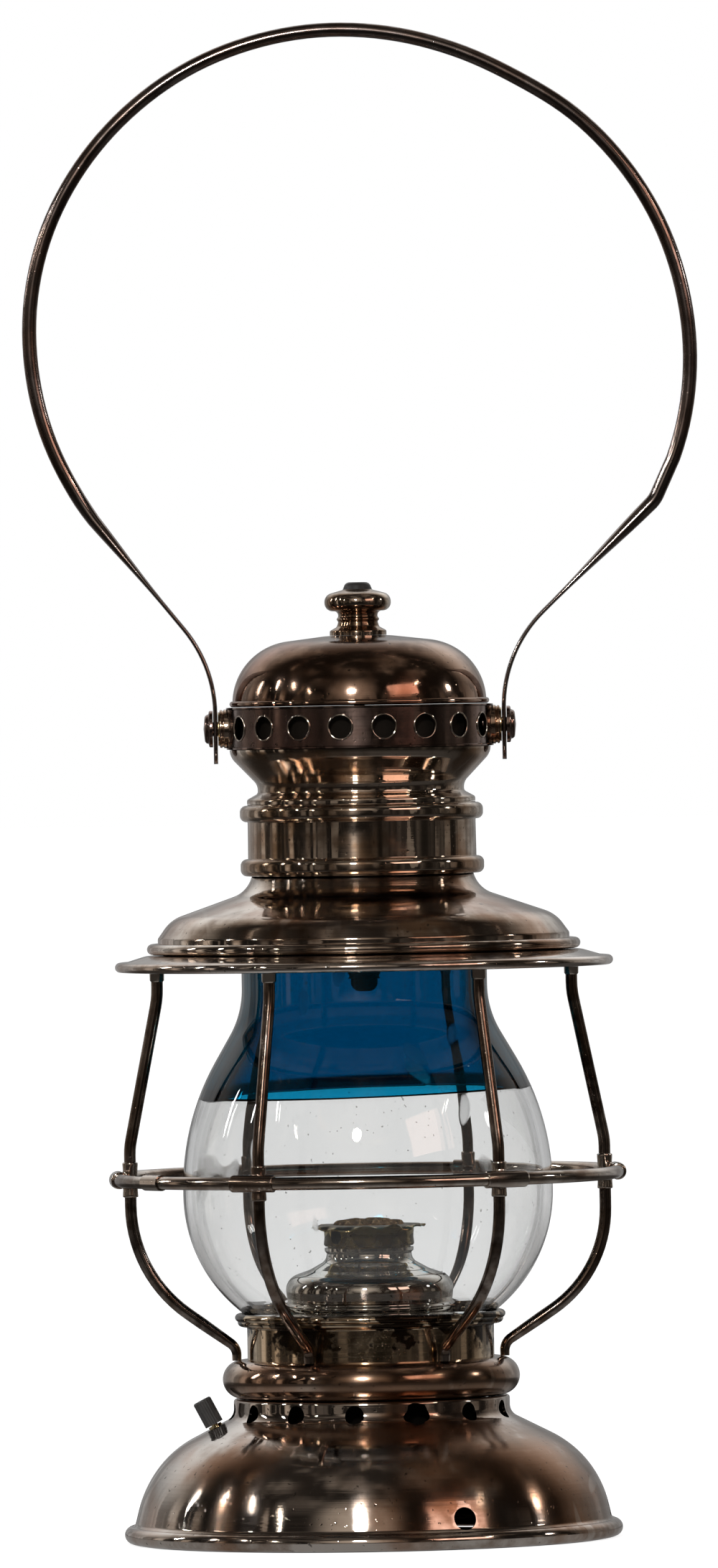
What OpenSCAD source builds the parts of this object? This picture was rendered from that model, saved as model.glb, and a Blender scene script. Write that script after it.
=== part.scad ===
// Railroad conductor's hand lantern with a two-colour globe, a wire guard and a tall bail.
// Millimetres, +Z up. The origin is the centre of the foot, on the surface it stands on.
// The front faces -Y, and angles round the lantern count from the front towards +X.

/* [Sheet and wire] */
// Thickness of the spun sheet metal
wall = 0.8; // [0.6:0.1:1]
// Diameter of the guard's upright wires
wire_d = 3.3; // [3:0.1:3.6]
// Diameter of the guard ring's wire
ring_wire_d = 3.6; // [3.2:0.1:4]
// Diameter of the bail's round rod
bail_d = 4; // [3.6:0.1:4.6]

/* [Base] */
// Outer radius of the rolled foot
foot_r = 69.4; // [68:0.2:71]
// Radius of the roll at the foot
foot_roll_r = 2.4; // [2.2:0.1:2.6]
// Outer radius of the base's neck
neck_r = 38.5; // [38:0.1:39]
// Height of the base up to the frame collar
base_h = 39.8; // [39:0.2:42]
// Number of draught holes round the neck
base_hole_count = 14; // [10:1:16]
// Diameter of a draught hole in the neck
base_hole_d = 5.7; // [4:0.1:6]
// Diameter of the cord inlet hole
inlet_d = 6.5; // [5:0.1:8]
// Angle of the cord inlet hole from the front
inlet_turn = 22.5; // [10:0.5:60]

/* [Globe and its seat] */
// Height of the half-round frame collar
collar_h = 10.6; // [10:0.1:11.2]
// Outer radius of the band that holds the globe
holder_r = 34.4; // [34:0.1:34.8]
// Height of that band above the frame collar
holder_h = 9.4; // [8.6:0.1:10.4]
// Greatest radius of the globe
globe_r = 51.5; // [49:0.5:52.5]
// Outer radius of the globe's upper neck
globe_neck_r = 34.2; // [33.4:0.1:35]
// Height of the globe
globe_h = 105; // [104:0.5:106]
// Thickness of the glass
glass = 2.4; // [1.8:0.1:3]
// Height of the seam between the two glasses above the globe's foot
seam_h = 63; // [56:0.5:70]

/* [Guard] */
// Height of the guard ring's wire above the foot
ring_z = 101.4; // [98:0.2:105]
// Radius of the guard ring's centre line
ring_r = 69.7; // [69:0.1:71]
// Number of upright guard wires
wire_count = 6; // [6]
// Angle of the first guard wire from the front
first_wire_turn = -27; // [-30:1:-20]
// Distance from the brim's edge in to where the wires meet it
wire_inset = 11.6; // [11:0.1:12.2]
// Length of the fitting that clips a wire to the ring
fitting_h = 10; // [8:0.2:12]

/* [Brim and hood] */
// Outer radius of the brim
brim_r = 69.4; // [68:0.2:71]
// Height of the brim's underside above the foot
brim_z = 162.8; // [162.4:0.2:164.8]
// Radius of the roll at the brim's edge
brim_roll_r = 1.35; // [1.2:0.05:1.6]
// Distance from the brim's edge in to the bead round the hood's lower edge
brim_land = 9; // [8.8:0.1:9.4]
// Outer radius of the hood's neck
hood_neck_r = 30.6; // [30:0.1:31]
// Height of the hood from its lower edge to the foot of its neck
hood_h = 17.6; // [17:0.2:20]

/* [Chimney] */
// Outer radius of the chimney collar between its beads
chimney_r = 31.8; // [31.6:0.1:32.4]
// Height of the chimney collar
chimney_h = 20.3; // [19:0.1:22]
// Height of the waisted bowl above the chimney collar
bowl_h = 15.3; // [14:0.1:17]
// Outer radius of the ventilated band
band_r = 36.9; // [36.4:0.1:37.4]
// Height of the ventilated band
band_h = 11.8; // [11:0.1:13]
// Number of vent holes on each side between the ears
vent_holes_each_side = 8; // [6:1:8]
// Angle from one vent hole to the next
vent_pitch = 18.9; // [15:0.1:19]
// Diameter of a vent hole
vent_d = 6.5; // [5:0.1:6.8]
// Height of the dome cap
dome_h = 19.4; // [18:0.1:20.6]
// Radius of the round of the dome's shoulder
dome_round = 17.5; // [14:0.5:18]
// Height of the finial
finial_h = 14.8; // [13.4:0.1:16.4]
// Greatest radius of the finial
finial_r = 9.25; // [8:0.25:10]

/* [Bail] */
// Radius of the bail's round loop
loop_r = 92; // [88:1:94]
// Height of the loop's centre above the ear pivots
loop_rise = 101.8; // [98:0.5:104]
// Sideways lean of the loop's centre
loop_lean = 1.4; // [0:0.2:2.2]
// Thickness of the bail's flattened ends
strap_t = 1.2; // [1:0.1:1.4]
// Width of the bail's flattened ends
strap_w = 9.6; // [8:0.2:10.4]
// Radius of the rivets that the bail swings on
rivet_r = 2; // [1.6:0.1:2.4]

/* [Fount and switch] */
// Radius of the fount's dome inside the globe
fount_dome_r = 23.6; // [22:0.2:24]
// Radius of the fount's can inside the base
fount_can_r = 30.5; // [28:0.5:31]
// Height of the fount's bottom above the foot
fount_lift = 14; // [8:1:20]
// Radius of the burner's collar
burner_r = 12.6; // [12:0.1:13.4]
// Turn of the fount between locked and free
fount_turn = 24; // [16:1:30]
// Diameter of the fluted switch knob
knob_d = 5.3; // [4.8:0.1:6.5]
// Length of the fluted switch knob
knob_h = 7.5; // [6:0.5:9]
// Number of flutes on the switch knob
flutes = 12; // [8:1:16]

/* [Hidden] */
$fn = 96;
WIRES = [for (i = [1 : wire_count]) str("guard_wire_", i)];
FITTINGS = [for (i = [1 : wire_count]) str("guard_fitting_", i)];

// Clearances between pieces that meet
running = 0.08;
seat = 0.3;
snug = 0.04;

// Heights that follow from the driving sizes
collar_z = base_h + 0.1;
collar_top = collar_z + collar_h;
holder_top = collar_top + holder_h;
globe_z = holder_top + 1;
globe_top = globe_z + globe_h;
hood_z = brim_z + wall + seat;
hood_neck_z = hood_z + hood_h;
chimney_z = hood_neck_z + 3.5;
chimney_top = chimney_z + chimney_h;
band_z = chimney_top + bowl_h;
band_top = band_z + band_h;
dome_z = band_top + 0.1;
dome_top = dome_z + dome_h;
ear_z = band_z + band_h / 2;

// Radius of the frame collar's half-round bead and of its centre line
collar_bead_r = collar_h / 2;
collar_line_r = holder_r + 1.7;

// The wires stand just inside the guard ring, and meet the brim between the globe and its edge
wire_r = ring_r - ring_wire_d / 2 - wire_d / 2 - 0.05;
wire_top_r = brim_r - wire_inset;
hood_bead_r = brim_r - brim_land;

// Colours of the finishes
aged_silver = [0.42, 0.36, 0.32];
dark_copper = [0.30, 0.20, 0.16];
bright_silver = [0.62, 0.60, 0.55];
old_brass = [0.45, 0.37, 0.24];
blue_glass = [0.0, 0.28, 0.42, 0.6];
clear_glass = [0.85, 0.9, 0.9, 0.35];

// Rounded paths: a corner is [x, y, radius]
function flat(corner) = [corner.x, corner.y];
function unit(v) = v / norm(v);
function angle_of(v) = atan2(v.y, v.x);
function cross_of(u, v) = u.x * v.y - u.y * v.x;
function half_angle(a, b, c) = acos(unit(a - b) * unit(c - b)) / 2;
function radius_of(corner) = len(corner) > 2 ? corner[2] : 0;
function cut_of(a, b, c, r) = r == 0 ? 0 : r / tan(half_angle(a, b, c));
function bend_centre(a, b, c, r) =
    b + unit(unit(a - b) + unit(c - b)) * r / sin(half_angle(a, b, c));
function bend_points(a, b, c, r) =
    r == 0 ? [b] :
    let (centre = bend_centre(a, b, c, r))
    let (start = angle_of(b + unit(a - b) * cut_of(a, b, c, r) - centre))
    let (sweep = 180 - 2 * half_angle(a, b, c))
    let (side = sign(cross_of(b - a, c - b)))
    let (steps = max(2, ceil(sweep / arc_step)))
    [for (i = [0 : steps]) centre + r * [
        cos(start + side * sweep * i / steps),
        sin(start + side * sweep * i / steps)
    ]];
arc_step = 10;
function rounded(corners) = [
    for (i = [0 : len(corners) - 1])
        let (b = flat(corners[i]))
        let (inner = i > 0 && i < len(corners) - 1)
        let (a = inner ? flat(corners[i - 1]) : b)
        let (c = inner ? flat(corners[i + 1]) : b)
        each inner ? bend_points(a, b, c, radius_of(corners[i])) : [b]
];

// A path moved sideways to its right by the thickness of the sheet
function right_of(v) = [v.y, -v.x];
function side_normal(path, i) =
    let (last = len(path) - 1)
    let (before = i > 0 ? right_of(unit(path[i] - path[i - 1])) : undef)
    let (after = i < last ? right_of(unit(path[i + 1] - path[i])) : undef)
    i == 0 ? after : i == last ? before :
    unit(before + after) / (unit(before + after) * after);
function moved_right(path, t) =
    [for (i = [0 : len(path) - 1]) path[i] + t * side_normal(path, i)];
function reversed(path) = [for (i = [len(path) - 1 : -1 : 0]) path[i]];
function thickened(path, t) = concat(path, reversed(moved_right(path, t)));

// Sheet metal or glass spun round the axis, drawn by its outer face from top to bottom
module spun(corners, t) {
    rotate_extrude() polygon(thickened(rounded(corners), t));
}

// A solid turned round the axis from its outline
module turned(corners) {
    rotate_extrude() polygon(rounded(corners));
}

// A plain tube standing on the XY plane
module tube(outer, inner, h) {
    difference() {
        cylinder(r = outer, h = h);
        translate([0, 0, -1]) cylinder(r = inner, h = h + 2);
    }
}

// A ring of round wire
module wire_ring(line_r, tube_r, z) {
    translate([0, 0, z]) rotate_extrude() translate([line_r, 0]) circle(r = tube_r);
}

// Places children on the circle of radius r at a turn from the front, with -Y outwards
module at_turn(turn, r, z) {
    rotate([0, 0, turn]) translate([0, -r, z]) children();
}

// A round hole or pin that points outwards at a turn from the front
module radial_rod(turn, r, z, d, h) {
    at_turn(turn, r, z) rotate([90, 0, 0]) cylinder(d = d, h = h, center = true);
}

// A path with its long straights divided, so that a section can change along them
function divided(path, longest) = [
    for (i = [0 : len(path) - 2])
        let (parts = ceil(norm(path[i + 1] - path[i]) / longest))
        each [for (k = [0 : parts - 1]) path[i] + (path[i + 1] - path[i]) * k / parts],
    path[len(path) - 1]
];
function heading(path, i) =
    unit(path[min(i + 1, len(path) - 1)] - path[max(i - 1, 0)]);
function travelled(path, i) =
    i == 0 ? 0 : travelled(path, i - 1) + norm(path[i] - path[i - 1]);

// A rod swept along a path in the XZ plane. A section is [thickness, width, squareness],
// with the width along Y, and squareness from 0, round, to 1, a strap with round edges
function section_ring(centre, dir, section, sides) =
    let (power = 1 - section[2] / 2)
    [for (k = [0 : sides - 1])
        let (a = 360 * k / sides)
        let (u = sign(cos(a)) * pow(abs(cos(a)), power) * section[0] / 2)
        let (v = sign(sin(a)) * pow(abs(sin(a)), power) * section[1] / 2)
        [centre.x + u * dir.y, v, centre.y - u * dir.x]];
module swept(path, sections, sides) {
    last = len(path) - 1;
    faces = concat(
        [[for (k = [0 : sides - 1]) k]],
        [for (i = [0 : last - 1], k = [0 : sides - 1])
            let (next = (k + 1) % sides)
            [(i + 1) * sides + k, (i + 1) * sides + next, i * sides + next, i * sides + k]],
        [[for (k = [sides - 1 : -1 : 0]) last * sides + k]]
    );
    rings = [for (i = [0 : last]) section_ring(path[i], heading(path, i), sections[i], sides)];
    polyhedron(points = [for (ring = rings) each ring], faces = faces, convexity = 4);
}

// Base: a bell spun from one sheet, with a rolled foot
flare_corner = [neck_r, base_h - 4.8];
shoulder_corner = [foot_r - 7.2, 22.7];
shoulder_slope = atan((flare_corner.y - shoulder_corner.y) / (shoulder_corner.x - flare_corner.x));
skirt_foot = [foot_r - 3.1, 5.4];
neck_edge_round = 0.9;
flare_round = min(6, (base_h - flare_corner.y - neck_edge_round - 0.1) / tan((90 - shoulder_slope) / 2));
module base_shell() {
    inlet_z = 8.3;
    hole_phase = -7.2;
    skirt_lean = atan((skirt_foot.x - shoulder_corner.x) / (shoulder_corner.y - skirt_foot.y));
    inlet_r = skirt_foot.x - (inlet_z - skirt_foot.y) * tan(skirt_lean);
    color(aged_silver) difference() {
        union() {
            spun([
                [neck_r - 2.9, base_h],
                [neck_r, base_h, neck_edge_round],
                [flare_corner.x, flare_corner.y, flare_round],
                [shoulder_corner.x, shoulder_corner.y, 30],
                [skirt_foot.x, skirt_foot.y, 1],
                [foot_r - 1.9, 2 * foot_roll_r - 0.6]
            ], wall);
            difference() {
                wire_ring(foot_r - foot_roll_r, foot_roll_r, foot_roll_r - 0.1);
                translate([0, 0, -5]) cylinder(r = foot_r + 1, h = 5);
            }
        }
        for (i = [0 : base_hole_count - 1])
            radial_rod(hole_phase + i * 360 / base_hole_count, neck_r, base_h - 4.4, base_hole_d, 12);
        at_turn(inlet_turn, inlet_r, inlet_z) rotate([90 - skirt_lean, 0, 0])
            cylinder(d = inlet_d, h = 8, center = true);
        switch_place() translate([0, 0, -4]) cylinder(r = bush_r + snug, h = 8);
    }
}

// Frame collar: a half-round bead between the base and the globe holder
module frame_collar() {
    color(dark_copper) translate([0, 0, collar_z + collar_bead_r]) rotate_extrude() difference() {
        translate([collar_line_r, 0]) circle(r = collar_bead_r);
        translate([collar_line_r, 0]) circle(r = collar_bead_r - wall);
        translate([holder_r + snug - 2 * collar_bead_r, -collar_bead_r - 1])
            square([2 * collar_bead_r, 2 * collar_bead_r + 2]);
    }
}

// Globe holder: a band with a rolled flange, and slots in its skirt for the fount's lugs
skirt_z = collar_z + 3.6;
lug_z = skirt_z + 3.2;
lug_r = 1.1;
lug_count = 3;
slot_half_h = lug_r + 0.2;
holder_lip_r = holder_r + 2.6;
holder_lip_z = holder_top + 2.2;
holder_roll_r = 1.1;
module ring_sector(inner, outer, z, h, from, sweep) {
    translate([0, 0, z]) rotate([0, 0, from]) rotate_extrude(angle = sweep)
        translate([inner, 0]) square([outer - inner, h]);
}
module globe_holder() {
    lug_half_turn = asin((lug_r + 0.25) / (holder_r - wall));
    drop_half_turn = asin((lug_r + 0.7) / (holder_r - wall));
    color(dark_copper) difference() {
        rotate_extrude() union() {
            polygon(thickened(rounded([
                [holder_lip_r, holder_lip_z],
                [holder_lip_r, holder_top, 1.2],
                [holder_r, holder_top, 0.6],
                [holder_r, skirt_z]
            ]), wall));
            translate([holder_lip_r - wall / 2, holder_lip_z + 0.3]) circle(r = holder_roll_r);
        }
        for (i = [0 : lug_count - 1]) {
            turn = i * 360 / lug_count;
            ring_sector(holder_r - 2, holder_r + 1, lug_z - slot_half_h, 2 * slot_half_h,
                turn - lug_half_turn, fount_turn + 2 * lug_half_turn);
            ring_sector(holder_r - 2, holder_r + 1, skirt_z - 1, lug_z - skirt_z + 1,
                turn + fount_turn - drop_half_turn, 2 * drop_half_turn);
        }
    }
}

// Seat plate: the globe stands on it, and its holes feed air from the base
module globe_seat_plate() {
    air_hole_count = 24;
    air_hole_d = 3;
    plate_r = holder_r - wall - snug;
    color(old_brass) translate([0, 0, holder_top + 0.05]) difference() {
        tube(plate_r, fount_dome_r + 0.6, wall);
        for (i = [0 : air_hole_count - 1])
            at_turn(i * 360 / air_hole_count, fount_dome_r + 4.4, -1) cylinder(d = air_hole_d, h = 3);
    }
}

// Globe: one glass blown in two colours, fused along a seam
globe_lean = 30.1;
globe_neck_h = 18.8;
globe_neck_round = 26;
globe_belly_round = 71;
globe_foot_h = 16.2;
globe_foot_round = 42;
module globe_glass() {
    neck_z = globe_top - globe_neck_h;
    spun([
        [globe_neck_r, globe_top],
        [globe_neck_r, neck_z, globe_neck_round],
        [globe_r, neck_z - (globe_r - globe_neck_r) / tan(globe_lean), globe_belly_round],
        [globe_r, globe_z + globe_foot_h, globe_foot_round],
        [globe_neck_r + 0.7, globe_z + 2.2, 1.8],
        [globe_neck_r - 0.6, globe_z]
    ], glass);
}
module globe_half(from, to) {
    intersection() {
        globe_glass();
        translate([0, 0, from]) cylinder(r = globe_r + 5, h = to - from);
    }
}
module globe_clear() {
    color(clear_glass) globe_half(globe_z - 1, globe_z + seam_h);
}
module globe_blue() {
    color(blue_glass) globe_half(globe_z + seam_h, globe_top + 1);
}

// Guard ring and the sleeve that joins its ends
module guard_ring() {
    color(aged_silver) wire_ring(ring_r, ring_wire_d / 2, ring_z);
}
module ring_sleeve(turn, half_turn, sleeve_r) {
    translate([0, 0, ring_z]) rotate([0, 0, turn - 90 - half_turn])
        rotate_extrude(angle = 2 * half_turn) translate([ring_r, 0]) difference() {
            circle(r = sleeve_r);
            circle(r = ring_wire_d / 2 + snug);
        }
}
module ring_joint_sleeve() {
    color(aged_silver) ring_sleeve(-58, 3.4, ring_wire_d / 2 + 0.4);
}

// Guard wire: down from the brim, past the ring and in to the frame collar
wire_sides = 12;
function wire_turn(i) = first_wire_turn + (i - 1) * 360 / wire_count;
module guard_wire(i) {
    foot_end_r = collar_line_r + 1.3;
    path = rounded([
        [wire_top_r, brim_z],
        [wire_top_r, brim_z - 10.8, 25],
        [wire_r, ring_z + 9, 20],
        [wire_r, ring_z - 25.6, 39],
        [foot_end_r, collar_top + 3.6, 4],
        [foot_end_r, collar_top + 0.05]
    ]);
    color(aged_silver) rotate([0, 0, wire_turn(i) - 90])
        swept(path, [for (p = path) [wire_d, wire_d, 0]], wire_sides);
}

// Fitting that clips a wire to the ring: a sleeve, two collars and a saddle between them
module guard_fitting(i) {
    sleeve_r = ring_wire_d / 2 + 0.6;
    collar_r = wire_d / 2 + 0.5;
    color(bright_silver) rotate([0, 0, wire_turn(i)]) difference() {
        union() {
            ring_sleeve(0, 5.3, sleeve_r);
            at_turn(0, wire_r, ring_z - fitting_h / 2) cylinder(r = collar_r, h = fitting_h);
            radial_rod(0, (wire_r + ring_r) / 2, ring_z, 1.6 * sleeve_r, ring_r - wire_r);
        }
        wire_ring(ring_r, ring_wire_d / 2 + snug, ring_z);
        at_turn(0, wire_r, ring_z - fitting_h) cylinder(d = wire_d + 2 * snug, h = 2 * fitting_h);
    }
}

// Ferrules where the wires meet the brim
module wire_ferrules() {
    ferrule_h = 6.4;
    color(bright_silver) for (i = [1 : wire_count])
        at_turn(wire_turn(i), wire_top_r, brim_z - ferrule_h)
            tube(wire_d / 2 + 0.4, wire_d / 2 + snug, ferrule_h);
}

// Brim: a rolled plate with an upstand that centres the hood
upstand_r = hood_bead_r - 5;
brim_fall = 2.2;
module brim_profile() {
    polygon(thickened(rounded([
        [upstand_r, brim_z + 2.6],
        [upstand_r, brim_z + wall, 0.5],
        [hood_bead_r + 0.3, brim_z + wall, 6],
        [brim_r - brim_roll_r, brim_z + wall - brim_fall]
    ]), wall));
}
module brim_ring() {
    color(bright_silver) union() {
        rotate_extrude() brim_profile();
        wire_ring(brim_r - brim_roll_r, brim_roll_r, brim_z + wall - brim_fall - 0.9);
    }
}

// Hinge at the back: two fixed knuckles on the brim, one on the hood, and a pin
knuckle_r = 2.2;
pin_r = 1;
hinge_y = hood_bead_r + knuckle_r + 0.8;
hinge_z = brim_z + wall + knuckle_r + 0.1;
hood_knuckle_w = 9;
brim_knuckle_w = 5;
knuckle_gap = 0.25;
module knuckle(from, w, bore_r) {
    translate([from, hinge_y, hinge_z]) rotate([0, 90, 0]) tube(knuckle_r, bore_r, w);
}
module hinge_brim_leaf() {
    out = hood_knuckle_w / 2 + knuckle_gap;
    leaf_w = 2 * (out + brim_knuckle_w);
    strip_y = hinge_y + knuckle_r + 0.35;
    color(bright_silver) difference() {
        union() {
            for (side = [0, 1]) mirror([side, 0, 0]) {
                knuckle(out, brim_knuckle_w, pin_r + snug);
                translate([out, hinge_y - 1.2, brim_z - 1]) cube([brim_knuckle_w, 3.8, 1.6 + knuckle_r]);
            }
            translate([-leaf_w / 2, strip_y, brim_z - 1]) cube([leaf_w, 1.4, 2.2]);
        }
        rotate_extrude() polygon([
            [0, 0],
            [0, brim_z + wall + snug],
            [hood_bead_r + 0.3, brim_z + wall + snug],
            [brim_r, brim_z + wall + snug - brim_fall],
            [brim_r, 0]
        ]);
        wire_ring(brim_r - brim_roll_r, brim_roll_r + snug, brim_z + wall - brim_fall - 0.9);
        translate([-out, hinge_y, hinge_z]) rotate([0, 90, 0])
            cylinder(r = knuckle_r + 0.3, h = 2 * out);
        translate([-leaf_w, hinge_y, hinge_z]) rotate([0, 90, 0])
            cylinder(r = pin_r + snug, h = 2 * leaf_w);
    }
}
module hinge_pin() {
    pin_h = hood_knuckle_w + 2 * knuckle_gap + 2 * brim_knuckle_w + 1;
    color(old_brass) translate([-pin_h / 2, hinge_y, hinge_z]) rotate([0, 90, 0])
        cylinder(r = pin_r, h = pin_h);
}

// Hood: the conical lid, from its neck down to the bead that sits on the brim
hood_shoulder = [hood_bead_r - 6.6, hood_z + 9.6];
module hood_outline() {
    polygon(thickened(rounded(hood_corners), wall));
}
hood_corners = [
    [hood_neck_r, chimney_z + 13],
    [hood_neck_r, hood_neck_z, 5],
    [hood_shoulder.x, hood_shoulder.y, 10],
    [hood_bead_r - 2.9, hood_z + 4.4, 1.2],
    [hood_bead_r - 2.9, hood_z + 1.6]
];
module hood_shell() {
    color(aged_silver) union() {
        rotate_extrude() hood_outline();
        wire_ring(hood_bead_r - 1.5, 1.5, hood_z + 1.5);
    }
}

// Hood leaf: a strap bent over the bead and soldered to the shoulder
module hinge_hood_leaf() {
    strap = 7;
    color(bright_silver) difference() {
        union() {
            knuckle(-hood_knuckle_w / 2, hood_knuckle_w, pin_r + running);
            translate([-strap / 2, 0, 0]) rotate([90, 0, 90]) linear_extrude(strap) polygon([
                [hinge_y, hinge_z + knuckle_r - 1.2],
                [hinge_y, hinge_z + knuckle_r],
                [hood_bead_r - 1, hinge_z + knuckle_r + 0.6],
                [hood_bead_r - 3.6, hood_z + 7],
                [hood_shoulder.x - 1, hood_shoulder.y + 1.6],
                [hood_shoulder.x - 2, hood_shoulder.y - 2],
                [hood_bead_r - 4, hood_z + 2],
                [hood_bead_r - 1, hood_z + 3.2]
            ]);
        }
        rotate_extrude() polygon(concat(moved_right(rounded(hood_corners), -snug), [[0, hood_z], [0, 300]]));
        wire_ring(hood_bead_r - 1.5, 1.5 + snug, hood_z + 1.5);
        translate([-hood_knuckle_w, hinge_y, hinge_z]) rotate([0, 90, 0])
            cylinder(r = pin_r + running, h = 2 * hood_knuckle_w);
    }
}

// Retainer: a plate in the hood whose lip drops into the globe's neck
module globe_retainer() {
    lip_r = globe_neck_r - glass - wall - 0.5;
    plate_r = hood_bead_r - 2.9 - wall - seat;
    plate_z = globe_top + seat;
    color(dark_copper) spun([
        [plate_r, plate_z + wall],
        [lip_r, plate_z + wall, 1],
        [lip_r, plate_z - 3]
    ], -wall);
}

// Chimney collar: two beads with a plain band between them
module chimney_collar() {
    bead = 2.1;
    bead_h = 4.6;
    bead_round = 1.8;
    color(aged_silver) spun([
        [chimney_r, chimney_top],
        [chimney_r, chimney_top - 0.3, 0.2],
        [chimney_r + bead, chimney_top - 0.3, bead_round],
        [chimney_r + bead, chimney_top - 0.3 - bead_h, bead_round],
        [chimney_r, chimney_top - 0.3 - bead_h, 0.2],
        [chimney_r, chimney_z + 0.5 + bead_h, 0.2],
        [chimney_r + bead, chimney_z + 0.5 + bead_h, bead_round],
        [chimney_r + bead, chimney_z + 0.3, bead_round],
        [chimney_r + 0.1, chimney_z + 0.3]
    ], wall);
}

// Chimney bowl: a waisted cup that carries the ventilated band
waist_r = chimney_r - 2.9;
module chimney_bowl() {
    color(aged_silver) spun([
        [band_r - 0.5, band_z - 0.1],
        [band_r - 1.2, band_z - 3.8, 2.5],
        [waist_r, chimney_top + 7.6, 3],
        [waist_r, chimney_top + 4, 2.4],
        [chimney_r, chimney_top + 1.3, 0.9],
        [chimney_r, chimney_top + 0.1]
    ], wall);
}

// Ventilated band: punched holes with raised rims, and a lip above and below
module vent_band() {
    first = -(vent_holes_each_side - 1) / 2 * vent_pitch + 1;
    rim_w = 0.4;
    lip = 0.3;
    color(dark_copper) difference() {
        union() {
            translate([0, 0, band_z]) tube(band_r, band_r - wall, band_h);
            for (z = [band_z, band_top - 2 * lip])
                translate([0, 0, z]) tube(band_r + lip, band_r - wall / 2, 2 * lip);
            for (half = [0, 180], i = [0 : vent_holes_each_side - 1])
                radial_rod(half + first + i * vent_pitch, band_r - wall / 2, ear_z,
                    vent_d + 2 * rim_w, wall + lip);
        }
        for (half = [0, 180], i = [0 : vent_holes_each_side - 1])
            radial_rod(half + first + i * vent_pitch, band_r, ear_z, vent_d, 12);
        for (turn = [-90, 90]) radial_rod(turn, band_r, ear_z, 2 * (rivet_r + snug), 12);
    }
}

// Draught tube inside the band, flanged out to the bowl's waist
module draught_tube() {
    tube_r = waist_r - wall - 5;
    color(dark_copper) spun([
        [tube_r, band_top - 3],
        [tube_r, chimney_top + 6.2, 2],
        [waist_r - wall - 0.1, chimney_top + 6.2, 1],
        [waist_r - wall - 0.1, chimney_top + 3.6]
    ], wall);
}

// Dome cap, seated on the band by a bead
module dome_cap() {
    dome_r = band_r - 1.5;
    crown_r = 8.5;
    crown_fall = 3.2;
    crown_slope = atan(crown_fall / (dome_r - crown_r));
    bend = min(dome_round, (dome_h - crown_fall - 0.4) / tan((90 - crown_slope) / 2));
    color(dark_copper) union() {
        difference() {
            spun([
                [0, dome_top],
                [crown_r, dome_top, 30],
                [dome_r, dome_top - crown_fall, bend],
                [dome_r, dome_z]
            ], wall);
            cylinder(r = rod_r + snug, h = 400);
        }
        wire_ring(dome_r, 0.8, dome_z + 0.8);
    }
}

// Finial: a turned knob screwed on the rod
rod_r = 1.5;
module finial() {
    stem_r = 5.5;
    foot = dome_top + 0.05;
    color(aged_silver) difference() {
        turned([
            [0, foot],
            [7.9, foot],
            [7.9, foot + 1.3, 0.6],
            [stem_r + 0.4, foot + 2.4, 1],
            [stem_r, foot + 3.8, 0.5],
            [stem_r + 0.5, foot + 4.5, 0.4],
            [stem_r, foot + 5.2, 0.5],
            [stem_r, foot + 6.2, 0.8],
            [finial_r, foot + 7.4, 1.2],
            [finial_r, foot + 10, 1.2],
            [4.4, foot + 12, 4],
            [2.6, foot + finial_h, 1.4],
            [0, foot + finial_h]
        ]);
        translate([0, 0, foot - 1]) cylinder(r = rod_r + snug, h = 9);
    }
}

// Rod that ties the finial, the dome and the smoke bell together
bell_z = hood_z + 10;
rod_end_z = globe_top - 9.6;
module finial_rod() {
    color(old_brass) translate([0, 0, rod_end_z]) cylinder(r = rod_r, h = dome_top + 6 - rod_end_z);
}
module rod_lock_nut() {
    nut_r = 4;
    color(old_brass) translate([0, 0, dome_top - wall - 3.1]) difference() {
        cylinder(r = nut_r, h = 3, $fn = 6);
        translate([0, 0, -1]) cylinder(r = rod_r + snug, h = 5);
    }
}
module smoke_bell() {
    bell_r = 21;
    color(dark_copper) difference() {
        spun([
            [0, bell_z + 8],
            [6, bell_z + 8, 4],
            [bell_r, bell_z, 3],
            [bell_r, bell_z - 2]
        ], wall);
        translate([0, 0, bell_z]) cylinder(r = rod_r + snug, h = 20);
    }
}

// Knob on the rod's end: a flange, a waist and a ball, up against the smoke bell by its tube
module rod_end_knob() {
    ball_r = 3.75;
    flange_r = 4.5;
    tube_r = 2.6;
    z = rod_end_z - 3.6;
    color(dark_copper) difference() {
        turned([
            [0, z],
            [ball_r, z, 2.6],
            [ball_r, z + 4, 1.4],
            [2.9, z + 4.4, 0.8],
            [flange_r, z + 5, 0.4],
            [flange_r, z + 6.6, 0.4],
            [tube_r, z + 7.4, 0.8],
            [tube_r, bell_z + 7.1],
            [0, bell_z + 7.1]
        ]);
        translate([0, 0, rod_end_z]) cylinder(r = rod_r + snug, h = 40);
    }
}

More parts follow.
